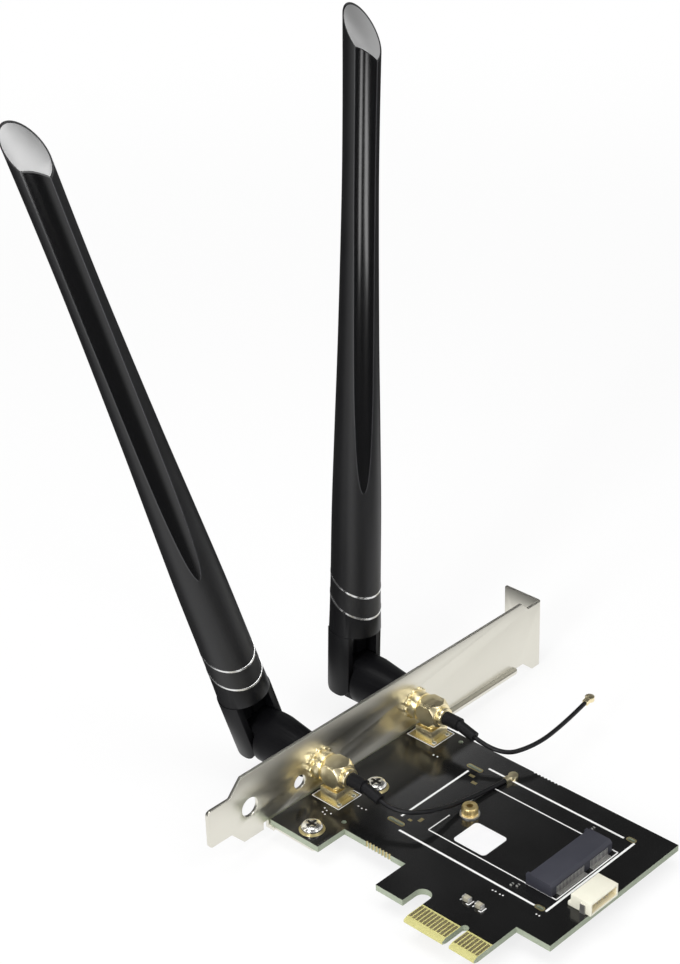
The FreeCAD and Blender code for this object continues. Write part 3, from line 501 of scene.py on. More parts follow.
def make_finish(name, group, colours, roughness, scales, bump=0.0, metallic=0.0, specular=0.5):
    """Material whose colour, roughness and bump follow a shared effect."""
    material = bpy.data.materials.new(name)
    material.use_nodes = True
    tree = material.node_tree
    shader = tree.nodes["Principled BSDF"]
    effect = tree.nodes.new("ShaderNodeGroup")
    effect.node_tree = group
    for socket, value in zip(effect.inputs, scales):
        socket.default_value = value
    shade = spread_value(tree, effect.outputs["Shade"], 0.0, 1.0)
    tree.links.new(mixed_colour(tree, shade, *colours), shader.inputs["Base Color"])
    gloss = spread_value(tree, effect.outputs["Shade"], *roughness)
    tree.links.new(gloss, shader.inputs["Roughness"])
    if bump:
        tree.links.new(bumped(tree, effect.outputs["Height"], bump), shader.inputs["Normal"])
    shader.inputs["Metallic"].default_value = metallic
    shader.inputs["Specular IOR Level"].default_value = specular
    shader.inputs["Coat Roughness"].default_value = COAT_ROUGH
    return material


finishes = {}
print("finish builder ready")

# %% [markdown]
# Plastics, lacquer and paper first. Black is never pure black: the black plastics and the lacquer
# scatter a little under one percent of the light, and the rest of what they show is gloss.

# %% Plastics, lacquer and paper
PLASTICS = {
    # two colours, roughness, the three inputs of the grain, bump in mm, specular level
    "soldermask": (((0.006, 0.006, 0.006), (0.009, 0.009, 0.009)),
                   (0.14, 0.22), (2500, 60, 0.7), 0.002, 0.60),
    "laminate": (((0.26, 0.30, 0.22), (0.38, 0.42, 0.33)),
                 (0.55, 0.7), (5000, 300, 0.4), 0.01, 0.4),
    "bare_laminate": (((0.50, 0.47, 0.17), (0.58, 0.55, 0.23)),
                      (0.4, 0.55), (5000, 300, 0.4), 0.004, 0.4),
    "slate_plastic": (((0.034, 0.035, 0.047), (0.048, 0.049, 0.063)),
                      (0.40, 0.52), (9000, 150, 0.5), 0.004, 0.3),
    "ivory_plastic": (((0.76, 0.74, 0.61), (0.83, 0.81, 0.69)),
                      (0.38, 0.5), (6000, 200, 0.6), 0.003, 0.4),
    # painted shade: a deeper ivory for the inside of the header's cavity
    "ivory_cavity_shade": (((0.78, 0.70, 0.48), (0.86, 0.78, 0.56)),
                   (0.45, 0.6), (6000, 200, 0.6), 0.003, 0.3),
    "chip_ceramic": (((0.34, 0.32, 0.24), (0.44, 0.41, 0.32)),
                     (0.5, 0.65), (9000, 900, 0.4), 0.003, 0.4),
    "resistor_body": (((0.012, 0.012, 0.013), (0.022, 0.022, 0.024)),
                      (0.35, 0.5), (9000, 900, 0.4), 0.003, 0.4),
    "label_paper": (((0.80, 0.80, 0.81), (0.86, 0.86, 0.86)),
                    (0.5, 0.62), (7000, 150, 0.4), 0.003, 0.35),
    "print_ink": (((0.76, 0.76, 0.75), (0.88, 0.88, 0.87)),
                  (0.5, 0.6), (9000, 500, 0.4), 0.002, 0.3),
    "white_core": (((0.78, 0.78, 0.76), (0.84, 0.84, 0.82)),
                   (0.3, 0.4), (9000, 300, 0.4), 0.002, 0.4),
    "shrink_sleeve": (((0.006, 0.006, 0.007), (0.011, 0.011, 0.012)),
                      (0.45, 0.6), (2500, 400, 0.5), 0.02, 0.15),
    "cable_jacket": (((0.005, 0.005, 0.006), (0.009, 0.009, 0.010)),
                     (0.34, 0.46), (4000, 300, 0.5), 0.004, 0.2),
    "knuckle_black": (((0.004, 0.004, 0.0045), (0.007, 0.007, 0.008)),
                      (0.34, 0.44), (9000, 120, 0.5), 0.004, 0.10),
    "fork_black": (((0.004, 0.004, 0.0045), (0.007, 0.007, 0.008)),
                   (0.34, 0.44), (9000, 120, 0.5), 0.004, 0.20),
    # painted shade for the cross recesses in the screw heads
    "recess_painted_shade": (((0.030, 0.028, 0.025), (0.060, 0.056, 0.050)),
                    (0.5, 0.7), (6000, 600, 0.5), 0.0, 0.2),
}
for name, (colours, roughness, scales, bump, specular) in PLASTICS.items():
    finishes[name] = make_finish(name, grain, colours, roughness, scales, bump, specular=specular)
print("plastics", len(PLASTICS))

# %% [markdown]
# Metals next. Their base colour is the colour of the reflection: pale yellow for the gold plating,
# warm grey for nickel on steel, and a duller grey for tin.

# %% Metals
METALS = {
    # two colours, roughness, the three inputs of the drawn lines, bump in mm
    "gold": (((0.92, 0.80, 0.50), (0.98, 0.88, 0.60)), (0.26, 0.33), (7000, 200, 0.7), 0.0005),
    "contact_gold": (((0.56, 0.48, 0.25), (0.64, 0.56, 0.31)), (0.38, 0.48), (7000, 200, 0.7), 0.001),
    "nickel_steel": (((0.72, 0.70, 0.62), (0.78, 0.76, 0.68)), (0.31, 0.37), (1500, 40, 0.92), 0.0004),
    "screw_steel": (((0.76, 0.75, 0.72), (0.88, 0.87, 0.84)), (0.18, 0.28), (6000, 300, 0.6), 0.001),
    "tin": (((0.70, 0.69, 0.66), (0.82, 0.81, 0.78)), (0.40, 0.52), (5000, 500, 0.6), 0.003),
    "brass": (((0.84, 0.64, 0.27), (0.94, 0.76, 0.38)), (0.32, 0.42), (7000, 300, 0.6), 0.002),
    "bright_ring": (((0.80, 0.80, 0.80), (0.90, 0.90, 0.90)), (0.16, 0.24), (6000, 200, 0.6), 0.001),
    "silver_cap": (((0.45, 0.45, 0.45), (0.50, 0.50, 0.50)), (0.42, 0.48), (9000, 120, 0.8), 0.001),
}
for name, (colours, roughness, scales, bump) in METALS.items():
    finishes[name] = make_finish(name, drawn, colours, roughness, scales, bump, metallic=1.0)
print("metals", len(METALS))

# %% [markdown]
# The rods are textured black with one polished hollow, the flute. Both are one moulding, so this is
# one finish: a mask stored on the mesh, called flute, takes the grain away, smooths the gloss, makes
# the base colour a little darker as painted shade in the hollow and adds a clear coat where it is 1. A
# second mask marks the flute's two edges, which get a lighter base colour as a painted highlight. A
# piece without these masks reads them as 0 and is textured all over.

# %% Rod plastic
ROD_COLOURS = ((0.004, 0.004, 0.0046), (0.007, 0.007, 0.008))
ROD_ROUGH = (0.36, 0.46)
ROD_GRAIN = (9000, 90, 0.5)
ROD_BUMP = 0.008
FLUTE_ROUGH = 0.14
FLUTE_COAT = 0.25
# painted shade: the flute's base colour, a little darker than the rod's
FLUTE_SHADE_COLOUR = (0.003, 0.003, 0.0034, 1.0)
# painted highlight: a lighter base colour along the flute's two edges
EDGE_HIGHLIGHT_COLOUR = (0.045, 0.045, 0.048, 1.0)

rod_finish = make_finish("antenna_black", grain, ROD_COLOURS, ROD_ROUGH, ROD_GRAIN)
tree = rod_finish.node_tree
shader = tree.nodes["Principled BSDF"]
effect = next(node for node in tree.nodes if node.type == "GROUP")
mask = tree.nodes.new("ShaderNodeAttribute")
mask.attribute_name = "flute"
textured = tree.nodes.new("ShaderNodeMath")
textured.operation = "SUBTRACT"
textured.inputs[0].default_value = 1.0
tree.links.new(mask.outputs["Fac"], textured.inputs[1])
relief = tree.nodes.new("ShaderNodeMath")
relief.operation = "MULTIPLY"
tree.links.new(effect.outputs["Height"], relief.inputs[0])
tree.links.new(textured.outputs[0], relief.inputs[1])
tree.links.new(bumped(tree, relief.outputs[0], ROD_BUMP), shader.inputs["Normal"])
polish = tree.nodes.new("ShaderNodeMix")
polish.inputs["B"].default_value = FLUTE_ROUGH
tree.links.new(mask.outputs["Fac"], polish.inputs["Factor"])
tree.links.new(shader.inputs["Roughness"].links[0].from_socket, polish.inputs["A"])
tree.links.new(polish.outputs["Result"], shader.inputs["Roughness"])
# painted highlight: the flute's edges get a lighter base colour
edge_highlight = tree.nodes.new("ShaderNodeAttribute")
edge_highlight.attribute_name = "flute_edge_highlight"
colour = shader.inputs["Base Color"].links[0].from_socket
for factor, second in ((mask.outputs["Fac"], FLUTE_SHADE_COLOUR), (edge_highlight.outputs["Fac"], EDGE_HIGHLIGHT_COLOUR)):
    tint = tree.nodes.new("ShaderNodeMix")
    tint.data_type = "RGBA"
    tint.inputs[COLOUR_B].default_value = second
    tree.links.new(factor, tint.inputs["Factor"])
    tree.links.new(colour, tint.inputs[COLOUR_A])
    colour = tint.outputs[COLOUR_OUT]
tree.links.new(colour, shader.inputs["Base Color"])
clear = tree.nodes.new("ShaderNodeMath")
clear.operation = "MULTIPLY"
clear.inputs[1].default_value = FLUTE_COAT
tree.links.new(mask.outputs["Fac"], clear.inputs[0])
tree.links.new(clear.outputs[0], shader.inputs["Coat Weight"])
finishes["antenna_black"] = rod_finish
print("rod finish", rod_finish.name)

# %% [markdown]
# ## Soft edges on CAD shapes
#
# CAD edges are perfectly sharp, and a sharp edge catches no light. A pressed or moulded edge has a
# small radius. A CAD mesh is made of loose triangles, so a copy is joined first: doubles are merged
# and flat neighbours dissolved into whole sides. Then the bevel operator can find the real edges by
# their angle.

# %% Rounding helpers
FLAT_DEG = 0.4
JOIN_DIST = 0.0005


def cad_copy(node):
    """bmesh with a CAD node's shape, joined and with whole flat sides."""
    bm = bmesh.new()
    bm.from_mesh(nodes[node].data)
    bmesh.ops.remove_doubles(bm, verts=bm.verts, dist=JOIN_DIST * MM)
    bmesh.ops.dissolve_limit(bm, angle_limit=math.radians(FLAT_DEG), verts=bm.verts, edges=bm.edges)
    return bm


def sharp_edges(bm, degrees):
    limit = math.radians(degrees)
    return [e for e in bm.edges if len(e.link_faces) == 2 and e.calc_face_angle(0.0) > limit]


def soften(bm, width, segments=2, degrees=30.0):
    """Round the sharp edges by a width in mm."""
    edges = sharp_edges(bm, degrees)
    bmesh.ops.bevel(bm, geom=edges, offset=width * MM, offset_type="OFFSET", segments=segments,
                    profile=0.5, affect="EDGES", clamp_overlap=True, material=-1)
    return len(edges)


print("rounding helpers ready")

# %% [markdown]
# A finished bmesh becomes an object that rides on a body of the part. It is shaded smooth except at the
# edges that are still sharp. Normals stored with the CAD mesh no longer fit the new faces, so they are
# taken off.

# %% Piece helpers
SHARP_DEG = 38.0


def finish_piece(name, bm, body, materials, replaced=()):
    """Turn a bmesh into a shaded piece that rides on a body."""
    for face in bm.faces:
        face.smooth = True
    for edge in bm.edges:
        edge.smooth = True
    for edge in sharp_edges(bm, SHARP_DEG):
        edge.smooth = False
    mesh = bpy.data.meshes.new(name)
    bm.to_mesh(mesh)
    bm.free()
    if "custom_normal" in mesh.attributes:
        mesh.attributes.remove(mesh.attributes["custom_normal"])
    for material in materials:
        mesh.materials.append(finishes[material])
    piece = bpy.data.objects.new(name, mesh)
    bpy.context.scene.collection.objects.link(piece)
    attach(piece, body)
    if replaced:
        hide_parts(*replaced)
    return piece


def soft_piece(name, node, body, slot, width, segments=2, degrees=30.0, finish=None):
    """Copy of a CAD node with rounded edges, in the node's place."""
    bm = cad_copy(node)
    count = soften(bm, width, segments, degrees)
    piece = finish_piece(name, bm, body, [finish or slot], [node])
    print(name, "edges rounded", count, "faces", len(piece.data.polygons))
    return piece


print("piece helpers ready")

# %% [markdown]
# ## Bracket, sockets and small parts
#
# These only need rounded edges. The width is the radius that the real process leaves: about 0.1 mm
# on sheared sheet, turned metal and small moulded plastic, and less on the tiny chips.

# %% Rounded copies on the card
ROUNDED = (
    # piece, node, slot, width of the rounding
    ("bracket_sheet", "bracket", "nickel_steel", 0.12),
    ("module_socket", "m2_socket", "slate_plastic", 0.10),
    ("usb_socket", "usb_header", "ivory_plastic", 0.12),
    ("capacitor_bodies", "chip_capacitors", "chip_ceramic", 0.06),
    ("chip_ends", "chip_terminals", "tin", 0.05),
    ("pan_screws", "board_screws", "screw_steel", 0.10),
    ("toothed_washers", "lock_washers", "gold", 0.08),
    ("hex_nuts", "jack_nuts", "gold", 0.10),
)
GOLD_PAIRS = (("_jack_body", "_jack", 0.10), ("_crimp", "_ferrule", 0.10), ("_snap_plug", "_plug", 0.12))
pieces = {}
for name, node, slot, width in ROUNDED:
    pieces[name] = soft_piece(name, node, "card", slot, width)
for name, node, width in GOLD_PAIRS:
    for side in LEAD_ROUTES:
        pieces[side + name] = soft_piece(side + name, side + node, "card", "gold", width)

# %% [markdown]
# The cross in a screw head is punched, and little light gets into it. Its walls and floor are the faces
# near the axis and below the top, and they get a dark finish: painted shade for the recess.

# %% Screw recesses
SCREW_PLACES = ((-49.2, 9.16), (-49.2, 31.0))
RECESS_R = 1.6
RECESS_Z = (0.4, 1.66)

screws = pieces["pan_screws"].data
screws.materials.append(finishes["recess_painted_shade"])
count = 0
for polygon in screws.polygons:
    middle = polygon.center / MM
    near = min(math.hypot(middle.x - x, middle.y - y) for x, y in SCREW_PLACES)
    if near < RECESS_R and RECESS_Z[0] < middle.z < RECESS_Z[1]:
        polygon.material_index = 1
        count += 1
print("recess faces", count)

# %% [markdown]
# The inside of the header's cavity gets a deeper, yellower ivory: painted shade, standing in for the light
# that goes through ivory plastic and is held in the cavity. The faces of its cavity are those whose middle
# lies inside the housing.

# %% Header cavity
CAVITY_LOW = Vector((14.0, 27.6, 0.3))
CAVITY_HIGH = Vector((17.9, 37.0, 3.1))

header = pieces["usb_socket"].data
header.materials.append(finishes["ivory_cavity_shade"])
count = 0
for polygon in header.polygons:
    middle = polygon.center / MM
    if all(low < value < high for low, value, high in zip(CAVITY_LOW, middle, CAVITY_HIGH)):
        polygon.material_index = 1
        count += 1
print("cavity faces", count)

# %% [markdown]
# The contacts of the module socket run down its back before they bend out to the board. The legs are
# thin upright bars at the pitch of the solder tails, with the key's gap left free. One bar is made
# and rounded, and the others are copies of it.

# %% Socket legs
LEG_X = (7.5, 7.6)
LEG_Z = (0.28, 2.1)
LEG_W = 0.15
LEG_PITCH = 0.5
LEG_COUNT = 37
LEG_GAP = (0.75, 2.75)
LEG_ROUND = 0.03
MODULE_Y = 37.8

legs = bmesh.new()
size = Matrix.Diagonal(((LEG_X[1] - LEG_X[0]) * MM, LEG_W * MM, (LEG_Z[1] - LEG_Z[0]) * MM, 1.0))
first = MODULE_Y - LEG_PITCH * (LEG_COUNT - 1) / 2
start = Matrix.Translation((sum(LEG_X) / 2 * MM, first * MM, sum(LEG_Z) / 2 * MM))
bmesh.ops.create_cube(legs, size=1.0, matrix=start @ size)
soften(legs, LEG_ROUND)
model = legs.faces[:]
for i in range(1, LEG_COUNT):
    offset = LEG_PITCH * i
    if LEG_GAP[0] < first + offset - MODULE_Y < LEG_GAP[1]:
        continue
    copied = bmesh.ops.duplicate(legs, geom=model)["geom"]
    verts = [item for item in copied if isinstance(item, bmesh.types.BMVert)]
    bmesh.ops.translate(legs, verts=verts, vec=(0, offset * MM, 0))
leg_piece = finish_piece("socket_legs", legs, "card", ["tin"])
print("leg faces", len(leg_piece.data.polygons))

# %% [markdown]
# Each jack's pad has two plated holes, and solder stands round them as a low bright ring. One ring is
# a small half-round section, spun once round the hole's axis.

# %% Solder rings
RING_PLACES = ((-50.8, 19.96), (-50.8, 24.86), (-50.8, 53.66), (-50.8, 58.56))
RING_SECTION = ((0.40, 0.0), (0.42, 0.10), (0.52, 0.15), (0.62, 0.11), (0.68, 0.0))
RING_STEPS = 24
RING_JOIN = 0.001

rings = bmesh.new()
for x, y in RING_PLACES:
    places = [((x + radius) * MM, y * MM, height * MM) for radius, height in RING_SECTION]
    corners = [rings.verts.new(place) for place in places]
    section = [rings.edges.new(pair) for pair in zip(corners, corners[1:] + corners[:1])]
    bmesh.ops.spin(rings, geom=corners + section, cent=(x * MM, y * MM, 0), axis=(0, 0, 1),
                   angle=math.tau, steps=RING_STEPS, use_merge=True)
bmesh.ops.remove_doubles(rings, verts=rings.verts, dist=RING_JOIN * MM)
bmesh.ops.recalc_face_normals(rings, faces=rings.faces)
ring_piece = finish_piece("solder_rings", rings, "card", ["tin"])
print("ring faces", len(ring_piece.data.polygons))

# %% [markdown]
# ## Board
#
# A board is a pale glass laminate with lacquer on its two faces, so its cut edges are a different
# colour. One copy of the CAD board holds both: the material of a face follows from its direction.
# The half holes on the front edge are plated. The contact tongue has no lacquer, so one cut with
# bisect_plane divides the faces where it begins.

# %% Board
BOARD_FRONT = 14.16
TEETH_X = (-36.8, -29.0)
TEETH_DEPTH = 0.4
FACE_LEVEL = 0.99
EDGE_LEVEL = 0.999
BARE_BELOW = 6.2
TONGUE_X = (-12.2, 8.1)


def board_side(face):
    """0 for a lacquered face, 1 for the laminate's edge, 2 for a plated half hole, 3 for the tongue."""
    middle = face.calc_center_median() / MM
    on_tongue = middle.y < BARE_BELOW and TONGUE_X[0] < middle.x < TONGUE_X[1]
    if on_tongue and abs(face.normal.x) < FACE_LEVEL:
        return 3
    if abs(face.normal.z) > FACE_LEVEL:
        return 0
    in_teeth = TEETH_X[0] < middle.x < TEETH_X[1] and abs(middle.y - BOARD_FRONT) < TEETH_DEPTH
    if in_teeth and abs(face.normal.y) < EDGE_LEVEL:
        return 2
    return 1


bm = cad_copy("circuit_board")
bmesh.ops.bisect_plane(bm, geom=bm.verts[:] + bm.edges[:] + bm.faces[:],
                       plane_co=(0, BARE_BELOW * MM, 0), plane_no=(0, 1, 0))
for face in bm.faces:
    face.material_index = board_side(face)
board = finish_piece("board_body", bm, "card",
                     ["soldermask", "laminate", "contact_gold", "bare_laminate"], ["circuit_board"])
print("board faces", len(board.data.polygons))

# %% [markdown]
# ## Print on the board
#
# The white lines are screen-printed ink, a few hundredths of a millimetre thick. Each line is a
# thin slab. They could be drawn in the lacquer's material, but slabs are crisp at any distance and
# are simple to place. A dot is a filled circle, pulled up by the same thickness.

# %% Print helpers
INK = 0.02
DOT_SIDES = 20


def add_line(bm, start, end, width):
    """Printed line between two points on the board's face, in mm."""
    start, end = Vector(start), Vector(end)
    along = end - start
    middle = (start + end) / 2
    turn = Matrix.Rotation(math.atan2(along.y, along.x), 4, "Z")
    size = Matrix.Diagonal((along.length * MM, width * MM, INK * MM, 1.0))
    place = Matrix.Translation((middle.x * MM, middle.y * MM, INK / 2 * MM))
    bmesh.ops.create_cube(bm, size=1.0, matrix=place @ turn @ size)


def add_dot(bm, x, y, radius):
    """Printed round dot."""
    place = Matrix.Translation((x * MM, y * MM, 0))
    made = bmesh.ops.create_circle(bm, cap_ends=True, radius=radius * MM, segments=DOT_SIDES,
                                   matrix=place)
    face = made["verts"][0].link_faces[0]
    top = bmesh.ops.extrude_face_region(bm, geom=[face])["geom"]
    raised = [item for item in top if isinstance(item, bmesh.types.BMVert)]
    bmesh.ops.translate(bm, verts=raised, vec=(0, 0, INK * MM))


print("print helpers ready, ink", INK, "mm")

# %% [markdown]
# Two frames mark the place of the module, and thin ones stand round the jacks. Short strokes are at
# the capacitors, and small dots mark where the two faces of the board are joined.

# %% Printed lines
FRAME_WIDE = 0.55
FRAME_THIN = 0.3
JACK_FRAME_WIDE = 0.2
LINES = (
    # outer frame of the module's place
    ((-37.05, 26.6), (-37.05, 50.6), FRAME_WIDE),
    ((-33.9, 54.43), (6.6, 54.43), FRAME_WIDE),
    ((9.57, 54.43), (9.57, 22.36), FRAME_WIDE),
    ((6.4, 22.36), (-33.9, 22.36), FRAME_WIDE),
    # inner frame
    ((-28.9, 26.96), (8.8, 26.96), FRAME_THIN),
    ((-28.9, 49.26), (8.8, 49.26), FRAME_THIN),
    ((8.8, 26.96), (8.8, 49.26), FRAME_THIN),
    ((-28.9, 26.96), (-28.9, 34.4), FRAME_THIN),
    ((-28.9, 41.2), (-28.9, 49.26), FRAME_THIN),
    # outlines at the capacitors
    ((-4.4, 12.9), (-4.4, 14.5), FRAME_THIN),
    ((-5.2, 12.75), (-4.4, 12.75), FRAME_THIN),
    ((-7.0, 12.9), (-7.0, 13.4), FRAME_THIN),
    ((-0.8, 12.9), (-0.8, 14.5), FRAME_THIN),
    ((-1.6, 12.75), (-0.8, 12.75), FRAME_THIN),
    ((-3.4, 12.9), (-3.4, 13.4), FRAME_THIN),
)
JACK_FRAMES = ((-58.4, -49.7, 18.56, 26.41), (-58.4, -49.7, 52.26, 59.96))
DOTS = (
    # near the corner screw
    (-52.6, 16.9, 0.2), (-51.6, 16.5, 0.2), (-51.9, 15.5, 0.2), (-50.9, 15.2, 0.2), (-50.0, 16.3, 0.2),
    # beside the jacks
    (-47.2, 22.7, 0.22), (-46.0, 22.6, 0.22), (-44.9, 22.9, 0.22), (-47.6, 49.8, 0.22), (-46.4, 49.9, 0.22),
    # in front of the outer frame
    (-3.8, 20.2, 0.2), (-3.0, 20.3, 0.2), (-1.7, 20.2, 0.2), (-0.9, 20.3, 0.2), (8.6, 20.3, 0.2),
    (9.4, 20.3, 0.2),
)
ink = bmesh.new()
for start, end, width in LINES:
    add_line(ink, start, end, width)
for x, y, radius in DOTS:
    add_dot(ink, x, y, radius)
for x0, x1, y0, y1 in JACK_FRAMES:
    corners = ((x0, y0), (x1, y0), (x1, y1), (x0, y1))
    for start, end in zip(corners, corners[1:] + corners[:1]):
        add_line(ink, start, end, JACK_FRAME_WIDE)
bmesh.ops.recalc_face_normals(ink, faces=ink.faces)
printed = finish_piece("board_print", ink, "card", ["print_ink"])
print("print faces", len(printed.data.polygons))

# %% [markdown]
# ## Antenna rods
#
# The long sleeve of each antenna has a curved taper, a flute that runs out to a point and two
# slanted ends. A lathe form is quickest with spin: an upright edge is divided, and one full turn makes
# a thin tube. Each of its vertices is then moved out to the profile, or to the flute's wall, and the
# slanted ends are cut with bisect_plane. The numbers are those of the CAD profile, in mm from the
# hinge. A smooth curve joins the points of the profile, so that no ring shows on the rod.

# %% Rod profile
PIVOT = Vector((-79.9, 0.0, 7.0))
ROD_SIDES = {"main": (22.41, 15.8, -3.7), "aux": (56.11, -2.9, 0.0)}
ROD_PROFILE = ((13.4, 6.55), (24.0, 6.3), (47.0, 6.05), (69.0, 5.5), (91.0, 4.9), (126.0, 4.28),
               (145.0, 4.22), (165.0, 4.38), (182.0, 4.65))
FLUTE_DEPTH = ((48.0, -0.3), (60.0, 0.35), (75.0, 0.8), (91.0, 1.0), (110.0, 1.1), (126.0, 1.2),
               (145.0, 1.25), (165.0, 1.3), (182.0, 1.3))
FLUTE_R = 9.0
FLUTE_AZIMUTH = -30.0


def smooth_curve(points, at):
    """Height of a smooth curve through (place, height) points."""
    last = len(points) - 1
    i = 0
    while i < last - 1 and at > points[i + 1][0]:
        i += 1

    def slope(k):
        before, after = points[max(k - 1, 0)], points[min(k + 1, last)]
        return (after[1] - before[1]) / (after[0] - before[0])
    (x0, y0), (x1, y1) = points[i], points[i + 1]
    run = x1 - x0
    t = (at - x0) / run
    return (y0 * (1 + 2 * t) * (1 - t) ** 2 + slope(i) * run * t * (1 - t) ** 2
            + y1 * t * t * (3 - 2 * t) + slope(i + 1) * run * t * t * (t - 1))


print("rod radius at 91 mm", round(smooth_curve(ROD_PROFILE, 91.0), 3))

# %% [markdown]
# A fixed share of the tube's columns is gathered between the two edges of the flute and drawn in to
# the flute's wall, so each edge of the flute follows one column of the mesh and is crisp. Where the
# flute has run out, those columns lie close together on the plain rod. An inset makes the same form a
# little thinner, for the plate that lies inside the rod's end.

# %% Flute
FLUTE_COLUMNS = 0.25 * math.pi
FLUTE_LEAST = 0.008
EDGE_SLACK = 0.001


def flute_half(radius, axis, hollow):
    """Half the angle that the flute takes out of a round section."""
    share = (radius ** 2 + axis ** 2 - hollow ** 2) / (2 * radius * axis)
    return math.acos(share) if share < 1 else 0.0


def flute_place(angle, height, inset):
    """Angle, radius, flute mask and painted-highlight edge mask of a vertex, given by its angle in the
    plain spin.
    """
    radius = smooth_curve(ROD_PROFILE, height)
    depth = smooth_curve(FLUTE_DEPTH, max(height, FLUTE_DEPTH[0][0]))
    axis = radius - depth + FLUTE_R
    radius -= inset
    hollow = FLUTE_R + inset
    half = max(flute_half(radius, axis, hollow), FLUTE_LEAST)
    spread = abs(angle) / FLUTE_COLUMNS
    if spread > 1 + EDGE_SLACK:
        rest = (abs(angle) - FLUTE_COLUMNS) / (math.pi - FLUTE_COLUMNS)
        return math.copysign(half + rest * (math.pi - half), angle), radius, 0.0, 0.0
    turned = half * angle / FLUTE_COLUMNS
    if half <= FLUTE_LEAST:
        return turned, radius, 0.0, 0.0
    # on the flute's edges the edge mask is 1, for the painted highlight
    if spread > 1 - EDGE_SLACK:
        return turned, radius, 0.5, 1.0
    wall = axis * math.cos(turned) - math.sqrt(hollow ** 2 - (axis * math.sin(turned)) ** 2)
    return turned, wall, 1.0, 0.0


print("flute takes", round(FLUTE_COLUMNS / math.pi * 100), "percent of the columns")

# %% [markdown]
# Now the rod itself, upright and in mm. The two masks are float layers on the vertices, which the rod
# finish reads by their names.

# %% Rod form
ROD_START = 20.0
ROD_END = 178.0
ROD_CUTS = 220
ROD_STEPS = 144
ROD_JOIN = 0.0001


def make_rod_form(inset):
    """Open tube about Z, in mm, with its flute and the flute's mask."""
    bm = bmesh.new()
    mask = bm.verts.layers.float.new("flute")
    highlight_mask = bm.verts.layers.float.new("flute_edge_highlight")
    low = bm.verts.new((1, 0, ROD_START))
    high = bm.verts.new((1, 0, ROD_END))
    edge = bm.edges.new((low, high))
    bmesh.ops.subdivide_edges(bm, edges=[edge], cuts=ROD_CUTS)
    bmesh.ops.spin(bm, geom=bm.verts[:] + bm.edges[:], cent=(0, 0, 0), axis=(0, 0, 1),
                   angle=math.tau, steps=ROD_STEPS, use_merge=True)
    bmesh.ops.remove_doubles(bm, verts=bm.verts, dist=ROD_JOIN)
    for vert in bm.verts:
        start = math.atan2(vert.co.y, vert.co.x)
        angle, radius, vert[mask], vert[highlight_mask] = flute_place(start, vert.co.z, inset)
        vert.co.x = radius * math.cos(angle)
        vert.co.y = radius * math.sin(angle)
    turn = Matrix.Rotation(math.radians(FLUTE_AZIMUTH), 3, "Z")
    bmesh.ops.rotate(bm, cent=(0, 0, 0), matrix=turn, verts=bm.verts)
    bmesh.ops.recalc_face_normals(bm, faces=bm.faces)
    return bm


print("rod steps", ROD_STEPS, "cuts", ROD_CUTS)

# %% [markdown]
# Both ends of the rod are cut by slanted planes. bisect_plane cuts and clears one side, and hands back
# the edges of the cut, so that they can be filled. A finished rod is then stood on its hinge.

# %% Slanted cuts and place
def slant_direction(slant):
    """Direction that a plane which falls towards +X faces."""
    angle = math.radians(slant)
    return Vector((math.sin(angle), 0, math.cos(angle)))


def cut_slanted(bm, at, slant, keep_below):
    """Cut the rod by a plane that falls towards +X; the edges of the cut are returned."""
    made = bmesh.ops.bisect_plane(bm, geom=bm.verts[:] + bm.edges[:] + bm.faces[:],
                                  plane_co=(0, 0, at), plane_no=slant_direction(slant),
                                  clear_outer=keep_below, clear_inner=not keep_below)
    return [item for item in made["geom_cut"] if isinstance(item, bmesh.types.BMEdge)]


def place_rod(bm, side):
    """Stand a rod on its hinge as it leans at rest, in metres."""
    across, swivel, lean = ROD_SIDES[side]
    stand = Matrix.Translation((PIVOT.x, across, PIVOT.z))
    turn = Matrix.Rotation(math.radians(swivel), 4, "X") @ Matrix.Rotation(math.radians(lean), 4, "Y")
    bmesh.ops.transform(bm, matrix=Matrix.Diagonal((MM, MM, MM, 1.0)) @ stand @ turn, verts=bm.verts)


print("rods lean by", {side: row[2] for side, row in ROD_SIDES.items()}, "degrees")

# %% [markdown]
# The sleeve is the rod from the upper ring to its slanted end. The end is inset, and its middle sunk,
# which leaves a thin rim round a pocket. The bright plate in the pocket is a slice of the thinner
# form. Its edge is bevelled, as on a stamped plate, so that it catches a line of light.

# %% Rod sleeves and tips
RING_TOP = 27.55
RING_SLANT = 25.0
TIP_AT = 163.4
TIP_SLANT = 53.5
TIP_T = 0.9
TIP_RIM = 0.3
TIP_PLAY = 0.02
TIP_BEVEL = 0.1
ROD_PLAY = 0.002

rise = 1 / math.cos(math.radians(TIP_SLANT))


def make_sleeve():
    """Rod with a closed lower end and a pocket in its slanted upper end."""
    sleeve = make_rod_form(ROD_PLAY)
    bmesh.ops.holes_fill(sleeve, edges=cut_slanted(sleeve, RING_TOP, RING_SLANT, keep_below=False))
    rim = cut_slanted(sleeve, TIP_AT, TIP_SLANT, keep_below=True)
    end_faces = bmesh.ops.holes_fill(sleeve, edges=rim)["faces"]
    bmesh.ops.inset_region(sleeve, faces=end_faces, thickness=TIP_RIM, use_even_offset=True)
    sunk = bmesh.ops.extrude_face_region(sleeve, geom=end_faces)["geom"]
    low_verts = [item for item in sunk if isinstance(item, bmesh.types.BMVert)]
    bmesh.ops.translate(sleeve, verts=low_verts, vec=(0, 0, -TIP_T * rise))
    bmesh.ops.delete(sleeve, geom=[face for face in end_faces if face.is_valid], context="FACES_ONLY")
    bmesh.ops.recalc_face_normals(sleeve, faces=sleeve.faces)
    return sleeve


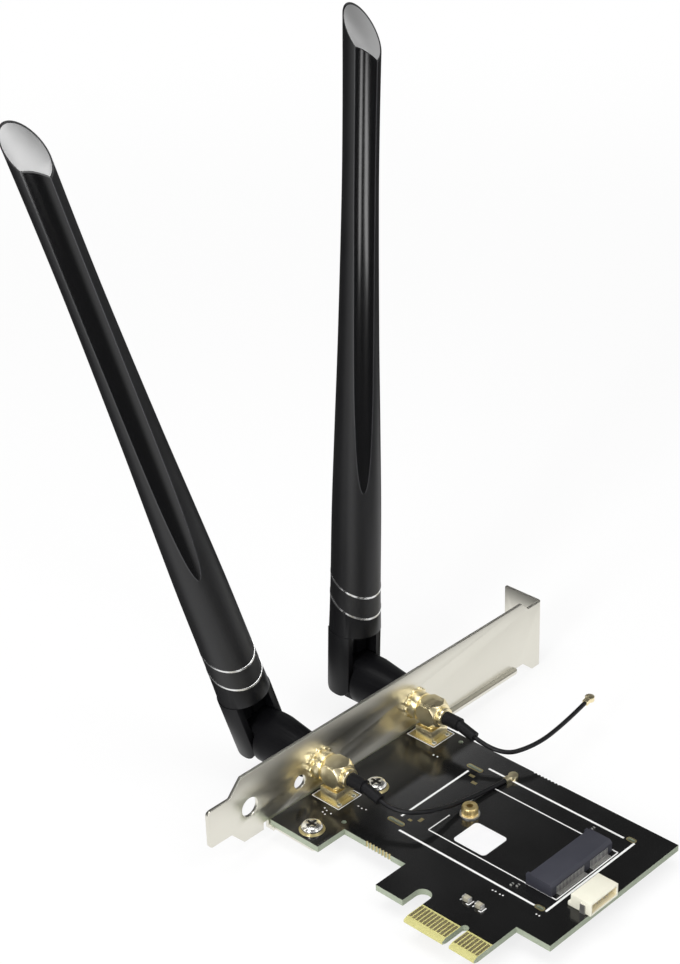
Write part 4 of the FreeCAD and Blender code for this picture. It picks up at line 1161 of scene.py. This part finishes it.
def make_plate():
    """Slice of the thinner form that lies in the pocket, with a bevelled upper edge."""
    plate = make_rod_form(TIP_RIM + TIP_PLAY)
    under = cut_slanted(plate, TIP_AT - (TIP_T - TIP_PLAY) * rise, TIP_SLANT, keep_below=False)
    bmesh.ops.holes_fill(plate, edges=under)
    rim = cut_slanted(plate, TIP_AT - TIP_PLAY * rise, TIP_SLANT, keep_below=True)
    bmesh.ops.holes_fill(plate, edges=rim)
    bmesh.ops.bevel(plate, geom=rim, offset=TIP_BEVEL, offset_type="OFFSET", segments=2, profile=0.5,
                    affect="EDGES", clamp_overlap=True, material=-1)
    return plate


for side in ROD_SIDES:
    sleeve = make_sleeve()
    place_rod(sleeve, side)
    piece = finish_piece(side + "_rod_sleeve", sleeve, side + "_rod",
                         ["antenna_black"], [side + "_radome"])
    plate = make_plate()
    place_rod(plate, side)
    tip_piece = finish_piece(side + "_tip_plate", plate, side + "_rod", ["silver_cap"],
                             [side + "_tip_cap"])
    print(side, "sleeve faces", len(piece.data.polygons), "tip faces", len(tip_piece.data.polygons))

# %% [markdown]
# ## Knuckles and forks
#
# The knuckle swivels on the jack and carries the fork's two legs on a pin. Both are moulded. The
# knuckle's edges are the rounder ones, because fingers turn it on the jack.

# %% Knuckles and forks
KNUCKLE_ROUND = 0.25
FORK_ROUND = 0.12
FORK_SHARP_DEG = 40.0

for side in ROD_SIDES:
    soft_piece(side + "_knuckle_block", side + "_knuckle", side + "_base", "knuckle_black",
               KNUCKLE_ROUND, segments=3)
    soft_piece(side + "_fork_legs", side + "_fork", side + "_rod", "antenna_black", FORK_ROUND,
               degrees=FORK_SHARP_DEG, finish="fork_black")

# %% [markdown]
# ## Finishes on the nodes that stay
#
# The other CAD nodes have the right shape already. They keep their meshes and only get a finish, in
# the material slot that they came with.

# %% Finishes on CAD nodes
STAY = {
    "edge_contacts": "contact_gold",
    "plated_pads": "contact_gold",
    "m2_contacts": "tin",
    "standoff_ring": "tin",
    "usb_pins": "tin",
    "m2_standoff": "brass",
    "chip_resistors": "resistor_body",
    "label": "label_paper",
}
STAY_PAIRS = {
    "_coupling_nut": "brass",
    "_radiator": "brass",
    "_jack_insulator": "white_core",
    "_jack_pin": "gold",
    "_sleeve": "shrink_sleeve",
    "_hinge_pin": "screw_steel",
    "_collar": "antenna_black",
    "_trim_rings": "bright_ring",
}
for part, finish in STAY_PAIRS.items():
    for side in LEAD_ROUTES:
        STAY[side + part] = finish
for name, finish in STAY.items():
    nodes[name].material_slots[0].material = finishes[finish]
for lead in leads.values():
    lead.data.materials.append(finishes["cable_jacket"])
print("nodes with a new finish", len(STAY))
